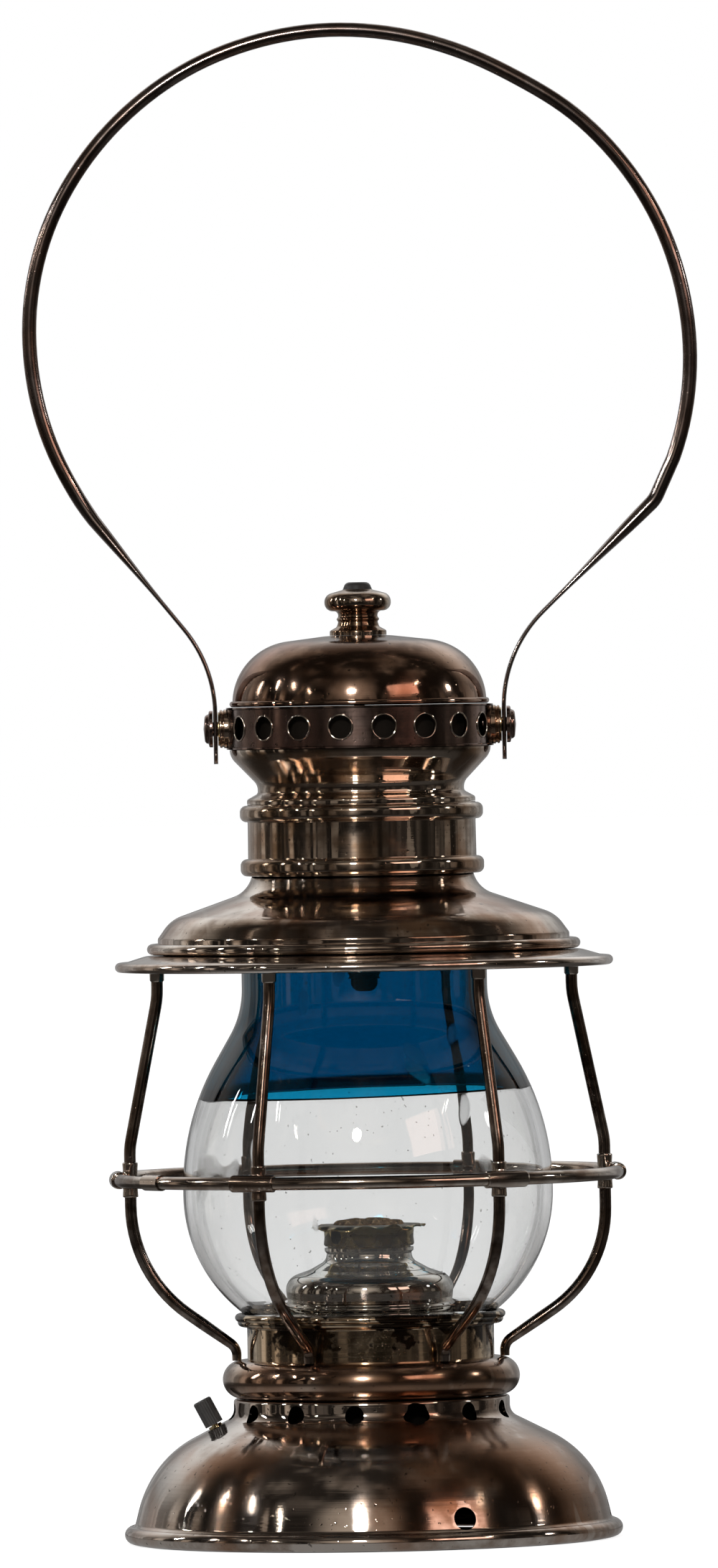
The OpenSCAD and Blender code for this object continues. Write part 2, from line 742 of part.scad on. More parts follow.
// Ears: bosses on the band, washers, and the rivets that the bail swings on
boss_out = band_r + 2.1;
washer_t = 0.5;
strap_x = boss_out + washer_t + 0.1;
module both_ears() {
    for (side = [0, 1]) mirror([side, 0, 0]) translate([0, 0, ear_z]) rotate([0, 90, 0]) children();
}
module ear_bosses() {
    boss_r = 5.4;
    color(aged_silver) difference() {
        both_ears() difference() {
            translate([0, 0, band_r - 1]) cylinder(r = boss_r, h = boss_out - band_r + 1);
            cylinder(r = rivet_r + snug, h = boss_out + 1);
        }
        cylinder(r = band_r + 0.02, h = 400);
        for (z = [band_z, band_top - 0.6])
            translate([0, 0, z - 0.02]) cylinder(r = band_r + 0.32, h = 0.64);
    }
}
module ear_washers() {
    color(old_brass) both_ears() translate([0, 0, boss_out + 0.02]) difference() {
        cylinder(r = 4.7, h = washer_t - 0.04);
        translate([0, 0, -1]) cylinder(r = rivet_r + snug, h = 3);
    }
}
rivet_head_r = 5.1;
module ear_rivets() {
    head_z = strap_x + strap_t + 0.15;
    tail_r = 3.2;
    tail_z = sqrt(pow(band_r - wall, 2) - pow(tail_r, 2)) - 1.3;
    color(dark_copper) both_ears() rotate_extrude() polygon(rounded([
        [0, tail_z],
        [tail_r, tail_z, 0.5],
        [tail_r, tail_z + 1.25],
        [rivet_r, tail_z + 1.25],
        [rivet_r, head_z],
        [rivet_head_r, head_z],
        [rivet_head_r, head_z + 1, 0.4],
        [rivet_head_r - 1, head_z + 1.2, 0.3],
        [rivet_head_r - 1.2, head_z + 2.2, 1],
        [0, head_z + 2.6]
    ]));
}

// Bail: a loop whose two arms are beaten flat towards the ears. It was bent by hand, so it
// stands off from a true circle by these lengths at these turns from its right side
loop_bends = [
    [-30, -1.2], [-18, -0.2], [-6, 0.4], [12, 0.4], [24, 0.35], [36, 0], [48, -0.55], [60, -1.5],
    [72, -1.05], [84, -0.15], [96, 0.85], [108, 1.65], [120, 2.3], [132, 2.5], [144, 2.45],
    [156, 2], [168, 0.85], [180, -0.9], [192, -2.85], [204, -5], [216, -6.6]
];
function loop_point(turn) =
    [loop_lean, ear_z + loop_rise] + (loop_r + lookup(turn, loop_bends)) * [cos(turn), sin(turn)];
pivot_x = strap_x + strap_t / 2;

// An arm's knee leaves the arm straight beside its rivet's head, however far the loop stands out
function knee(ear, rise, most, next) =
    let (corner = [ear.x, ear.y + rise])
    [corner.x, corner.y, min(most, (rise - rivet_head_r + 0.7) * tan(half_angle(ear, corner, next)))];
kink_turn = -26;
right_ear = [pivot_x, ear_z];
left_ear = [-pivot_x, ear_z];
right_arm = [
    right_ear,
    knee(right_ear, 20.2, 42, loop_point(kink_turn)),
    with_radius(loop_point(kink_turn), 9)
];
left_arm = [knee(left_ear, 17.6, 44, loop_point(210)), left_ear];
function with_radius(p, r) = [p.x, p.y, r];
bail_path = divided(rounded(concat(
    right_arm,
    [for (turn = [-18 : 6 : 210]) loop_point(turn)],
    left_arm
)), 10);

// The arms are flat up to the first length from the ear, and round from the second on
flat_to = 38;
round_from = 78;
bail_sides = 16;
function ease(s) = s * s * (3 - 2 * s);
function roundness(distance) =
    ease(min(1, max(0, (distance - flat_to) / (round_from - flat_to))));
function arm_thickness(share) = strap_t + (bail_d - strap_t) * share;
function arm_width(share) = strap_w + (bail_d - strap_w) * share;
module bail_rod() {
    whole = travelled(bail_path, len(bail_path) - 1);
    sections = [for (i = [0 : len(bail_path) - 1])
        let (done = travelled(bail_path, i))
        let (share = roundness(min(done, whole - done)))
        [arm_thickness(share), arm_width(share), 1 - share]];
    swept(bail_path, sections, bail_sides);
}
module strap_end(side) {
    below = 9.8;
    above = 7;
    x = side > 0 ? strap_x : -strap_x - strap_t;
    translate([x, -strap_w / 2, ear_z - below + strap_w / 2])
        cube([strap_t, strap_w, above + below - strap_w / 2]);
    translate([x, 0, ear_z - below + strap_w / 2]) rotate([0, 90, 0])
        cylinder(d = strap_w, h = strap_t);
}
module bail() {
    color(dark_copper) difference() {
        union() {
            bail_rod();
            strap_end(1);
            strap_end(-1);
        }
        for (x = [strap_x, -strap_x - strap_t]) translate([x - 1, 0, ear_z]) rotate([0, 90, 0])
            cylinder(r = rivet_r + running, h = strap_t + 2);
    }
}

// Fount: a drop-in can with a domed top and three locking lugs
fount_neck_z = globe_z + 20.4;
module fount_body() {
    dome_shoulder = fount_neck_z - 8;
    can_top = holder_top - 2.4;
    color(bright_silver) union() {
        spun([
            [burner_r - 0.2, fount_neck_z],
            [burner_r - 0.2, fount_neck_z - 2, 2],
            [fount_dome_r - 0.4, dome_shoulder, 3.4],
            [fount_dome_r, can_top, 0.6],
            [fount_can_r, can_top, 3],
            [fount_can_r, fount_lift, 3],
            [0, fount_lift]
        ], wall);
        for (i = [0 : lug_count - 1])
            rotate([0, 0, i * 360 / lug_count]) translate([fount_can_r - wall / 2, 0, lug_z])
                rotate([0, 90, 0]) cylinder(r = lug_r, h = holder_r - 0.3 - fount_can_r + wall / 2);
    }
}

// Burner: a brass collar in the fount's neck, its flange and the charred wick
burner_z = fount_neck_z + 0.1;
burner_h = 5.8;
module burner_collar() {
    spigot_r = burner_r - 0.2 - wall - snug;
    color(old_brass) difference() {
        rotate_extrude() polygon([
            [spigot_r - wall, burner_z - 4],
            [spigot_r, burner_z - 4],
            [spigot_r, burner_z + 0.4],
            [burner_r, burner_z + 0.4],
            [burner_r, burner_z + burner_h],
            [spigot_r - wall, burner_z + burner_h]
        ]);
        radial_rod(-48, burner_r, burner_z + 3.4, 3.4, 8);
    }
}
module burner_flange() {
    flange_r = burner_r + 3.4;
    color(old_brass) translate([0, 0, burner_z + burner_h + 0.05]) tube(flange_r, burner_r - 2.6, 0.7);
}
module wick_stub() {
    plug_r = burner_r - 0.2 - 2 * wall - 2 * snug;
    top = burner_z + burner_h + 2.4;
    color([0.2, 0.17, 0.13]) turned([
        [0, burner_z - 1],
        [plug_r, burner_z - 1],
        [plug_r, burner_z + burner_h],
        [burner_r - 2.7, burner_z + burner_h],
        [burner_r - 2.7, top - 0.6, 0.8],
        [5, top, 3],
        [0, top - 0.3]
    ]);
}

// Switch on the left shoulder, square to the bell's sheet
bush_r = 1.9;
switch_r = neck_r + 5.2;
module switch_place() {
    z = flare_corner.y - (switch_r - flare_corner.x) * tan(shoulder_slope);
    at_turn(-90, switch_r, z) rotate([shoulder_slope, 0, 0]) children();
}
module switch_body() {
    body_r = 5;
    body_h = 11.4;
    lead = 1.3;
    color([0.12, 0.1, 0.09]) switch_place() difference() {
        union() {
            translate([0, 0, -wall - 0.95 - body_h]) cylinder(r = body_r, h = body_h);
            for (x = [-2.4, 2.4]) translate([x, 0, -wall - 0.95 - body_h - lead]) cylinder(r = 0.9, h = lead + 0.5);
        }
        translate([0, 0, -wall - 0.95 - 6]) cylinder(r = bush_r + snug, h = 8);
    }
}
module switch_bush() {
    color(old_brass) switch_place() difference() {
        translate([0, 0, -wall - 6.5]) cylinder(r = bush_r, h = wall + 6.8);
        translate([0, 0, -10]) cylinder(r = spindle_r + running, h = 20);
    }
}
module switch_nut() {
    nut_r = 3.6;
    color(old_brass) switch_place() translate([0, 0, -wall - 0.9]) difference() {
        cylinder(r = nut_r, h = 0.75, $fn = 6);
        translate([0, 0, -1]) cylinder(r = bush_r + snug, h = 3);
    }
}
spindle_r = 0.9;
knob_lift = 0.6;
module switch_spindle() {
    color(old_brass) switch_place() translate([0, 0, -6]) cylinder(r = spindle_r, h = 6 + knob_lift + knob_h - 2);
}
module switch_knob() {
    flute_r = 0.45;
    color([0.04, 0.04, 0.04]) switch_place() difference() {
        translate([0, 0, knob_lift]) cylinder(r = knob_d / 2, h = knob_h);
        translate([0, 0, knob_lift - 1]) cylinder(r = spindle_r + snug, h = knob_h - 1);
        for (i = [0 : flutes - 1])
            rotate([0, 0, i * 360 / flutes]) translate([knob_d / 2 + flute_r / 2, 0, 0])
                cylinder(r = flute_r, h = knob_h, $fn = 24);
    }
}

base_shell();
frame_collar();
globe_holder();
globe_seat_plate();
globe_clear();
globe_blue();
guard_ring();
ring_joint_sleeve();
for (i = [1 : wire_count]) {
    guard_wire(i);
    guard_fitting(i);
}
wire_ferrules();
brim_ring();
hinge_brim_leaf();
hinge_pin();
hood_shell();
hinge_hood_leaf();
globe_retainer();
chimney_collar();
chimney_bowl();
vent_band();
draught_tube();
dome_cap();
finial();
finial_rod();
rod_lock_nut();
smoke_bell();
rod_end_knob();
ear_bosses();
ear_washers();
ear_rivets();
bail();
fount_body();
burner_collar();
burner_flange();
wick_stub();
switch_body();
switch_bush();
switch_nut();
switch_spindle();
switch_knob();
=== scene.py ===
"""Looks of a railroad conductor's hand lantern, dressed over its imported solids.

Sizes are written in millimetres, as a drawing has them, and become metres in the meshes.
"""

import logging
import math
from dataclasses import dataclass, field
from enum import Enum
from typing import Callable, Optional, Sequence

import bmesh
import bpy
from mathutils import Matrix, Quaternion, Vector, noise


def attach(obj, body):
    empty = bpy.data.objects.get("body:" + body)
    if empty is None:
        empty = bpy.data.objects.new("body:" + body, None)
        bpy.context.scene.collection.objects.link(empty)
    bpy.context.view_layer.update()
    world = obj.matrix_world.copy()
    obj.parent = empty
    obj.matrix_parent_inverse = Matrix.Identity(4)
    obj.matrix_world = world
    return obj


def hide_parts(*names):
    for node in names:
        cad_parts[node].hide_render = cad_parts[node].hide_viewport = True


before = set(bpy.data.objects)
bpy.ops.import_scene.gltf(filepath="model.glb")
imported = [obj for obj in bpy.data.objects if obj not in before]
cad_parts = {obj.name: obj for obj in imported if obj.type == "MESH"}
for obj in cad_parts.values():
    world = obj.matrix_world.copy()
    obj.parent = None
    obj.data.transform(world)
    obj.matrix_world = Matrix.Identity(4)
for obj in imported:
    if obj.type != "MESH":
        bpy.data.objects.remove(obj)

LOG = logging.getLogger("lantern")
MM = 0.001
TURN = 2 * math.pi
Mesh = bmesh.types.BMesh
Corner = tuple[float, ...]
Triple = tuple[float, float, float]
Inputs = dict[str | int, object]


class Body(Enum):
    """The rigid bodies that pieces ride on."""

    FRAME = "frame"
    HOOD = "hood"
    BAIL = "bail"
    FOUNT = "fount"
    SWITCH = "switch"


class Slot(Enum):
    """The record's material slots."""

    PLATE = "tarnished_plate"
    COPPER = "dark_copper"
    SILVER = "worn_silver"
    BRASS = "old_brass"
    CLEAR = "clear_glass"
    BLUE = "blue_glass"
    WICK = "charred_wick"
    KNOB = "black_knob"


# Shader helpers


class Value:
    """A node's output that can be reckoned with: each operator adds a Math node."""

    def __init__(self, graph: "Graph", socket: bpy.types.NodeSocket) -> None:
        """Keeps the output socket and the graph that it is in."""
        self.graph = graph
        self.socket = socket

    def __add__(self, other: "Value | float") -> "Value":
        """The sum of the two."""
        return self.graph.math("ADD", self, other)

    def __sub__(self, other: "Value | float") -> "Value":
        """The difference of the two."""
        return self.graph.math("SUBTRACT", self, other)

    def __rsub__(self, other: float) -> "Value":
        """A number less this value."""
        return self.graph.math("SUBTRACT", other, self)

    def __mul__(self, other: "Value | float") -> "Value":
        """The product of the two."""
        return self.graph.math("MULTIPLY", self, other)

    def held(self) -> "Value":
        """The same sum, difference or product, held to 0..1."""
        self.socket.node.use_clamp = True
        return self

    def ramp(self, low: float, high: float) -> "Value":
        """A smooth step over this value.

        Args:
            low: Where the result is 0.
            high: Where the result is 1.

        Returns:
            The result.
        """
        inputs = {"Value": self, "From Min": low, "From Max": high}
        return self.graph.add("MapRange", inputs, interpolation_type="SMOOTHSTEP")["Result"]


class Made:
    """A node of a graph, whose outputs are read by name or number."""

    def __init__(self, graph: "Graph", node: bpy.types.Node) -> None:
        """Keeps the node and its graph."""
        self.graph = graph
        self.node = node

    def __getitem__(self, output: str | int) -> Value:
        """One of the node's outputs."""
        return Value(self.graph, self.node.outputs[output])

    def feed(self, inputs: Inputs) -> None:
        """Links values into the node's inputs, or sets them.

        Args:
            inputs: A value, a number, a colour or a vector for each input's name or number.
        """
        for key, value in inputs.items():
            socket = self.node.inputs[key]
            if isinstance(value, Value):
                self.graph.tree.links.new(value.socket, socket)
            elif socket.type == "RGBA":
                socket.default_value = (*value, 1.0)
            else:
                socket.default_value = value


class Graph:
    """A short way to add and join nodes in one node tree."""

    def __init__(self, tree: bpy.types.NodeTree) -> None:
        """Keeps the tree."""
        self.tree = tree

    def add(self, kind: str, inputs: Optional[Inputs] = None, **settings: object) -> Made:
        """Adds a node.

        Args:
            kind: The node's type name, without the words ShaderNode.
            inputs: What goes into it.
            **settings: Its properties.

        Returns:
            The new node.
        """
        node = self.tree.nodes.new(f"ShaderNode{kind}")
        for name, value in settings.items():
            setattr(node, name, value)
        made = Made(self, node)
        made.feed(inputs or {})
        return made

    def math(self, operation: str, a: Value | float, b: Value | float = 0.0) -> Value:
        """A Math node's result.

        Args:
            operation: The node's operation.
            a: The first value.
            b: The second value.

        Returns:
            The result.
        """
        return self.add("Math", {0: a, 1: b}, operation=operation)[0]

    def mix(self, share: Value, a: Value | Triple, b: Value | Triple) -> Value:
        """A mix of two colours.

        Args:
            share: How much of the second colour shows.
            a: The first colour.
            b: The second colour.

        Returns:
            The mixed colour.
        """
        return self.add("Mix", {0: share, 6: a, 7: b}, data_type="RGBA")[2]

    def noise(self, place: Value, scale: Value | float, detail: float) -> Value:
        """Fractal noise, about 0.3 to 0.7.

        Args:
            place: Where the noise is read.
            scale: Its frequency.
            detail: How many octaves it has.

        Returns:
            The noise's value.
        """
        return self.add("TexNoise", {"Vector": place, "Scale": scale, "Detail": detail})["Fac"]

    def mapped(
        self, place: Value, scale: Triple = (1, 1, 1), turn: Triple = (0, 0, 0), move: Triple = (0, 0, 0)
    ) -> Value:
        """A place that is scaled, turned and moved.

        Args:
            place: The place.
            scale: The factor along each axis.
            turn: The turn about each axis, in radians.
            move: The move along each axis.

        Returns:
            The new place.
        """
        inputs = {"Vector": place, "Location": move, "Rotation": turn, "Scale": scale}
        return self.add("Mapping", inputs)[0]

    def bump(self, height: Value, strength: float, distance: float) -> Value:
        """The normal of a surface with a fine relief.

        Args:
            height: The relief.
            strength: How much of it shows.
            distance: Its height in metres.

        Returns:
            The normal.
        """
        return self.add("Bump", {"Strength": strength, "Distance": distance, "Height": height})[0]

    def axes(self, place: Value) -> tuple[Value, Value, Value]:
        """The three parts of a vector."""
        split = self.add("SeparateXYZ", {0: place})
        return split["X"], split["Y"], split["Z"]

    def rays(self) -> tuple[Value, Value]:
        """The kinds of ray that the surroundings answer to.

        Returns:
            Rays that see them plainly or through glass, and mirrored rays. One that the glass
            has turned back inside its own wall counts as mirrored by half.
        """
        path = self.add("LightPath")
        turned_inside = self.math("COMPARE", path["Transmission Depth"], 2.0)
        mirrored = self.math("GREATER_THAN", path["Glossy Depth"], 0.5) * (1.0 - turned_inside * 0.5)
        clear = (path["Is Camera Ray"] + path["Is Transmission Ray"]).held()
        return clear * (1.0 - mirrored), mirrored


def new_group(
    name: str, inputs: dict[str, Optional[float]], fill: Callable[[Graph, Made], dict[str, Value]]
) -> bpy.types.NodeTree:
    """Builds a shader node group.

    Args:
        name: The group's name.
        inputs: Each input's default number, or None for a vector.
        fill: From the graph and the group's input node to each output's value.

    Returns:
        The node group.
    """
    tree = bpy.data.node_groups.new(name, "ShaderNodeTree")
    for label, number in inputs.items():
        kind = "NodeSocketVector" if number is None else "NodeSocketFloat"
        socket = tree.interface.new_socket(label, in_out="INPUT", socket_type=kind)
        if number is not None:
            socket.default_value = number
    graph = Graph(tree)
    results = fill(graph, Made(graph, tree.nodes.new("NodeGroupInput")))
    for label in results:
        tree.interface.new_socket(label, in_out="OUTPUT", socket_type="NodeSocketFloat")
    Made(graph, tree.nodes.new("NodeGroupOutput")).feed(results)
    return tree


def fill_tarnish(g: Graph, given: Made) -> dict[str, Value]:
    """Broad clouds, a blush of bare copper, finer mottling and specks.

    Args:
        g: The group's graph.
        given: The group's input node.

    Returns:
        The group's outputs.
    """
    place, scale, bias = given["Place"], given["Scale"], given["Bias"]
    fine = g.noise(place, scale * 6.3, 5)
    clouds = g.noise(place, scale, 4) * 0.7 + fine * 0.3
    return {
        "Tarnish": (clouds + bias).ramp(0.42, 0.60),
        "Blush": (g.noise(place, scale * 1.7, 3) + bias).ramp(0.5, 0.66),
        "Specks": g.noise(place, scale * 40, 2).ramp(0.66, 0.76),
        "Mottle": fine,
    }


def fill_lathe(g: Graph, given: Made) -> dict[str, Value]:
    """Fine rings left by spinning and polishing, read along the height.

    Args:
        g: The group's graph.
        given: The group's input node.

    Returns:
        The group's outputs.
    """
    rings = g.noise(g.mapped(given["Place"], (14, 14, 900)), 1.0, 3)
    bands = g.noise(g.mapped(given["Place"], (4, 4, 160)), 1.0, 1)
    return {"Rings": rings * 0.65 + bands * 0.35}


def fill_scratches(g: Graph, given: Made) -> dict[str, Value]:
    """Sparse thin lines in three directions.

    Args:
        g: The group's graph.
        given: The group's input node.

    Returns:
        The group's outputs.
    """
    total: Value | float = 0.0
    for turn, stretch in ((0.5, (9, 160, 30)), (1.9, (150, 8, 60)), (2.7, (60, 140, 7))):
        place = g.mapped(given["Place"], stretch, (turn, turn * 0.6, turn * 1.4))
        lines = g.noise(place, given["Scale"], 1).ramp(0.70, 0.74)
        total = (lines + total).held()
    return {"Scratches": total}


def fill_wear(g: Graph, given: Made) -> dict[str, Value]:
    """Rubbed ridges and darker hollows, from the surface's pointiness broken up by noise.

    Args:
        g: The group's graph.
        given: The group's input node.

    Returns:
        The group's outputs.
    """
    broken = (g.noise(given["Place"], 260, 3) - 0.5) * 0.10
    shape = g.add("NewGeometry")["Pointiness"] + broken
    return {"Ridge": shape.ramp(0.51, 0.56), "Hollow": (1.0 - shape).ramp(0.51, 0.58)}


class Effects:
    """The node groups that several finishes share."""

    def __init__(self) -> None:
        """Builds each group once."""
        self.tarnish = new_group("Tarnish", {"Place": None, "Scale": 18.0, "Bias": 0.0}, fill_tarnish)
        self.lathe = new_group("Lathe_lines", {"Place": None}, fill_lathe)
        self.scratches = new_group("Scratches", {"Place": None, "Scale": 1.0}, fill_scratches)
        self.wear = new_group("Edge_wear", {"Place": None}, fill_wear)


def fresh_material(name: str) -> tuple[bpy.types.Material, Graph, Made, Value]:
    """Starts a material with a Principled shader.

    Args:
        name: The material's name.

    Returns:
        The material, its graph, its shader node and the Object coordinates.
    """
    material = bpy.data.materials.new(name)
    material.use_nodes = True
    g = Graph(material.node_tree)
    shader = Made(g, material.node_tree.nodes["Principled BSDF"])
    return material, g, shader, g.add("TexCoord")["Object"]


# Finishes


@dataclass(frozen=True)
class AgedPlate:
    """Silver plate over copper alloy, tarnished brown and rubbed bright."""

    name: str
    bright: Triple
    dark: Triple
    blush: Triple
    bias: float = 0.0
    scale: float = 18.0
    smooth: float = 0.16
    rough: float = 0.34
    lines: float = 0.35
    wear: float = 0.6
    speck: Triple = (0.012, 0.009, 0.007)
    brushed: float = 0.0
    patchy: bool = False
    offset: Triple = (0.0, 0.0, 0.0)

    def build(self, effects: Effects) -> bpy.types.Material:
        """Makes the material.

        Args:
            effects: The shared node groups.

        Returns:
            The material.
        """
        material, g, shader, place = fresh_material(self.name)
        place = g.mapped(place, move=self.offset)
        tarnish = g.add(
            "Group", {"Place": place, "Scale": self.scale, "Bias": self.bias}, node_tree=effects.tarnish
        )
        rings = g.add("Group", {"Place": place}, node_tree=effects.lathe)["Rings"]
        scratches = g.add("Group", {"Place": place, "Scale": 1.0}, node_tree=effects.scratches)[0]
        worn = g.add("Group", {"Place": place}, node_tree=effects.wear)
        # Hollows turn darker and rougher.
        hollow_dark = worn["Hollow"] * 0.4
        share = (tarnish["Tarnish"] - worn["Ridge"] * self.wear).held()
        share = (share + (rings - 0.5) * 0.5).held()
        if self.patchy:
            share = share.ramp(0.3, 0.62)
        colour = g.mix(share, self.bright, self.dark)
        colour = g.mix(tarnish["Blush"] * 0.55, colour, self.blush)
        colour = g.mix(hollow_dark, colour, tuple(0.35 * c for c in self.dark))
        colour = g.mix(tarnish["Specks"] * 0.7, colour, self.speck)
        colour = g.mix(scratches * 0.35, colour, self.bright)
        rough = share * (self.rough - self.smooth) + self.smooth
        rough = (rough + (tarnish["Mottle"] - 0.5) * 0.16 + hollow_dark * 0.25).held()
        height = rings * self.lines - scratches * 0.12 - tarnish["Specks"] * 0.25
        height = height + g.noise(place, 55, 2) * 1.1
        shader.feed({
            "Base Color": colour, "Metallic": 1.0, "Roughness": rough,
            "Normal": g.bump(height, strength=0.35, distance=0.0002),
        })
        if self.brushed:
            around = g.add("Tangent", direction_type="RADIAL", axis="Z")[0]
            shader.feed({"Anisotropic": self.brushed, "Anisotropic Rotation": 0.25, "Tangent": around})
        return material


@dataclass(frozen=True)
class Seam:
    """The sloping line where the globe's two glasses are fused."""

    z: float
    rise_x: float
    rise_y: float

    def normal(self) -> Vector:
        """The direction square to the seam's plane."""
        return Vector((-self.rise_x, -self.rise_y, 1)).normalized()

    def shadow(self, g: Graph, place: Value) -> Value:
        """The dark line that the fused lip throws over the seam at the front.

        Args:
            g: The material's graph.
            place: The Object coordinates.

        Returns:
            How dark the line is.
        """
        x, y, z = g.axes(place)
        over = z - (x * self.rise_x + y * self.rise_y) - self.z * MM
        line = over.ramp(0.1 * MM, 0.35 * MM) * over.ramp(4.0 * MM, 3.0 * MM)
        return line * y.ramp(-32 * MM, -20 * MM)


@dataclass(frozen=True)
class LampGlass:
    """Blown lamp glass: a tint, faint streaks, seeds and dust, and painted shade at its grazing edges."""

    name: str
    tint: Triple
    rim: Triple
    rim_from: float
    rim_to: float
    streak: float = 0.5
    # How strongly painted shade darkens the glass towards its grazing edges.
    edge: float = 0.0
    seam: Optional[Seam] = None
    seed: Triple = (0.05, 0.04, 0.03)
    shade: Triple = (0.0, 0.004, 0.006)
    seam_shade: Triple = (0.0, 0.003, 0.005)

    def build(self, effects: Effects) -> bpy.types.Material:
        """Makes the material.

        Args:
            effects: The shared node groups.

        Returns:
            The material.
        """
        material, g, shader, place = fresh_material(self.name)
        rim = g.axes(place)[2].ramp(self.rim_from * MM, self.rim_to * MM)
        scratches = g.add("Group", {"Place": place, "Scale": 0.8}, node_tree=effects.scratches)[0]
        colour = g.mix(rim, self.tint, self.rim)
        colour = g.mix(g.noise(place, 900, 0).ramp(0.845, 0.865) * 0.8, colour, self.seed)
        # Painted shade: the colour darkens towards the shade colour where the surface turns away from the
        # view, standing in for the darkening that refraction gives at the globe's edges.
        grazing_shade = g.add("LayerWeight", {"Blend": 0.5})["Facing"].ramp(0.36, 0.62)
        colour = g.mix(grazing_shade * self.edge, colour, self.shade)
        if self.seam:
            colour = g.mix(self.seam.shadow(g, place) * 0.96, colour, self.seam_shade)
        dust = g.noise(place, 60, 5).ramp(0.52, 0.75)
        streaks = g.noise(g.mapped(place, (30, 30, 9)), 1.0, 2)
        shader.feed({
            "Base Color": colour, "Transmission Weight": 1.0, "IOR": 1.5,
            "Roughness": dust * 0.03 + scratches * 0.25,
            "Normal": g.bump(streaks + scratches * 0.04, strength=self.streak, distance=0.0004),
        })
        return material


@dataclass(frozen=True)
class DullSolid:
    """A plain solid such as char or moulded plastic, mottled and slightly rough."""

    name: str
    light: Triple
    dark: Triple
    rough: float
    scale: float
    relief: float
    shine: float = 0.5

    def build(self, effects: Effects) -> bpy.types.Material:
        """Makes the material.

        Args:
            effects: The shared node groups.

        Returns:
            The material.
        """
        material, g, shader, place = fresh_material(self.name)
        inputs = {"Place": place, "Scale": self.scale, "Bias": 0.0}
        mottle = g.add("Group", inputs, node_tree=effects.tarnish)["Mottle"]
        ridge = g.add("Group", {"Place": place}, node_tree=effects.wear)["Ridge"]
        rubbed = tuple(min(1.0, 2.4 * c) for c in self.light)
        shader.feed({
            "Base Color": g.mix(ridge * 0.5, g.mix(mottle, self.dark, self.light), rubbed),
            "Specular IOR Level": self.shine,
            "Roughness": ((mottle - 0.5) * 0.3 + self.rough).held(),
            "Normal": g.bump(mottle, strength=self.relief, distance=0.0003),
        })
        return material


Look = AgedPlate | LampGlass | DullSolid


@dataclass
class Finishes:
    """Every finish of the lantern, built once and kept by name."""

    effects: Effects = field(default_factory=Effects)
    made: dict[str, bpy.types.Material] = field(default_factory=dict)

    def get(self, look: Look) -> bpy.types.Material:
        """Returns the finish's material, making it at the first call.

        Args:
            look: The finish.

        Returns:
            The material.
        """
        if look.name not in self.made:
            self.made[look.name] = look.build(self.effects)
        return self.made[look.name]


COPPER: Triple = (0.38, 0.20, 0.115)
GLOBE_SEAM = Seam(z=124.7, rise_x=0.024, rise_y=0.0146)
BASE_PLATE = AgedPlate(
    "base_plate", (0.62, 0.56, 0.505), (0.23, 0.15, 0.10), COPPER,
    bias=0.02, smooth=0.065, rough=0.18, lines=0.7, brushed=0.88,
)
HOOD_PLATE = AgedPlate(
    "hood_plate", (0.76, 0.68, 0.60), (0.21, 0.14, 0.092), COPPER,
    bias=0.03, smooth=0.05, rough=0.15, lines=0.7, brushed=0.88, offset=(0.3, 0.1, 0.2),
)
CHIMNEY_PLATE = AgedPlate(
    "chimney_plate", (0.72, 0.63, 0.54), (0.25, 0.17, 0.11), (0.40, 0.24, 0.145),
    bias=0.02, scale=26, smooth=0.05, rough=0.15, lines=0.4, brushed=0.92, offset=(0.7, 0.4, 0.1),
)
DOME_COPPER = AgedPlate(
    "dome_copper", (0.48, 0.34, 0.26), (0.135, 0.078, 0.05), (0.34, 0.155, 0.095),
    bias=0.03, smooth=0.05, rough=0.15, lines=0.4, brushed=0.6,
)
BAND_COPPER = AgedPlate(
    "band_copper", (0.33, 0.25, 0.22), (0.12, 0.08, 0.065), (0.22, 0.13, 0.11),
    bias=0.05, smooth=0.09, rough=0.22, lines=0.5, brushed=0.6,
)
COLLAR_COPPER = AgedPlate(
    "collar_copper", (0.58, 0.46, 0.37), (0.23, 0.145, 0.095), (0.42, 0.23, 0.14),
    bias=0.04, smooth=0.07, rough=0.18, lines=0.6, brushed=0.7, offset=(0.2, 0.9, 0.5),
)
HOLDER_PATINA = AgedPlate(
    "holder_patina", (0.70, 0.56, 0.40), (0.022, 0.016, 0.011), (0.12, 0.07, 0.03),
    bias=0.04, scale=58, patchy=True, smooth=0.10, rough=0.26, lines=0.6, brushed=0.6,
    offset=(0.6, 0.2, 0.8),
)
BRIM_SILVER = AgedPlate(
    "brim_silver", (0.86, 0.79, 0.73), (0.44, 0.34, 0.27), (0.50, 0.35, 0.26),
    smooth=0.08, rough=0.18, lines=0.6, brushed=0.7,
)
BRIGHT_SILVER = AgedPlate(
    "bright_silver", (0.58, 0.52, 0.46), (0.24, 0.18, 0.14), (0.36, 0.26, 0.19), smooth=0.09, rough=0.2
)
FOUNT_SILVER = AgedPlate(
    "fount_silver", (0.94, 0.92, 0.87), (0.58, 0.52, 0.41), (0.66, 0.57, 0.40),
    bias=-0.05, smooth=0.05, rough=0.12, lines=0.6, brushed=0.8,
)
WIRE_PLATE = AgedPlate(
    "wire_plate", (0.56, 0.49, 0.44), (0.075, 0.054, 0.042), (0.17, 0.115, 0.08),
    bias=0.09, scale=40, smooth=0.06, rough=0.15, lines=0.1,
)
RING_PLATE = AgedPlate(
    "ring_plate", (0.58, 0.52, 0.46), (0.24, 0.18, 0.14), (0.32, 0.22, 0.16),
    scale=30, smooth=0.09, rough=0.18, lines=0.1,
)
BAIL_PLATE = AgedPlate(
    "bail_plate", (0.42, 0.37, 0.35), (0.14, 0.11, 0.10), (0.24, 0.16, 0.12),
    bias=0.05, scale=26, smooth=0.1, rough=0.2, lines=0.1,
)
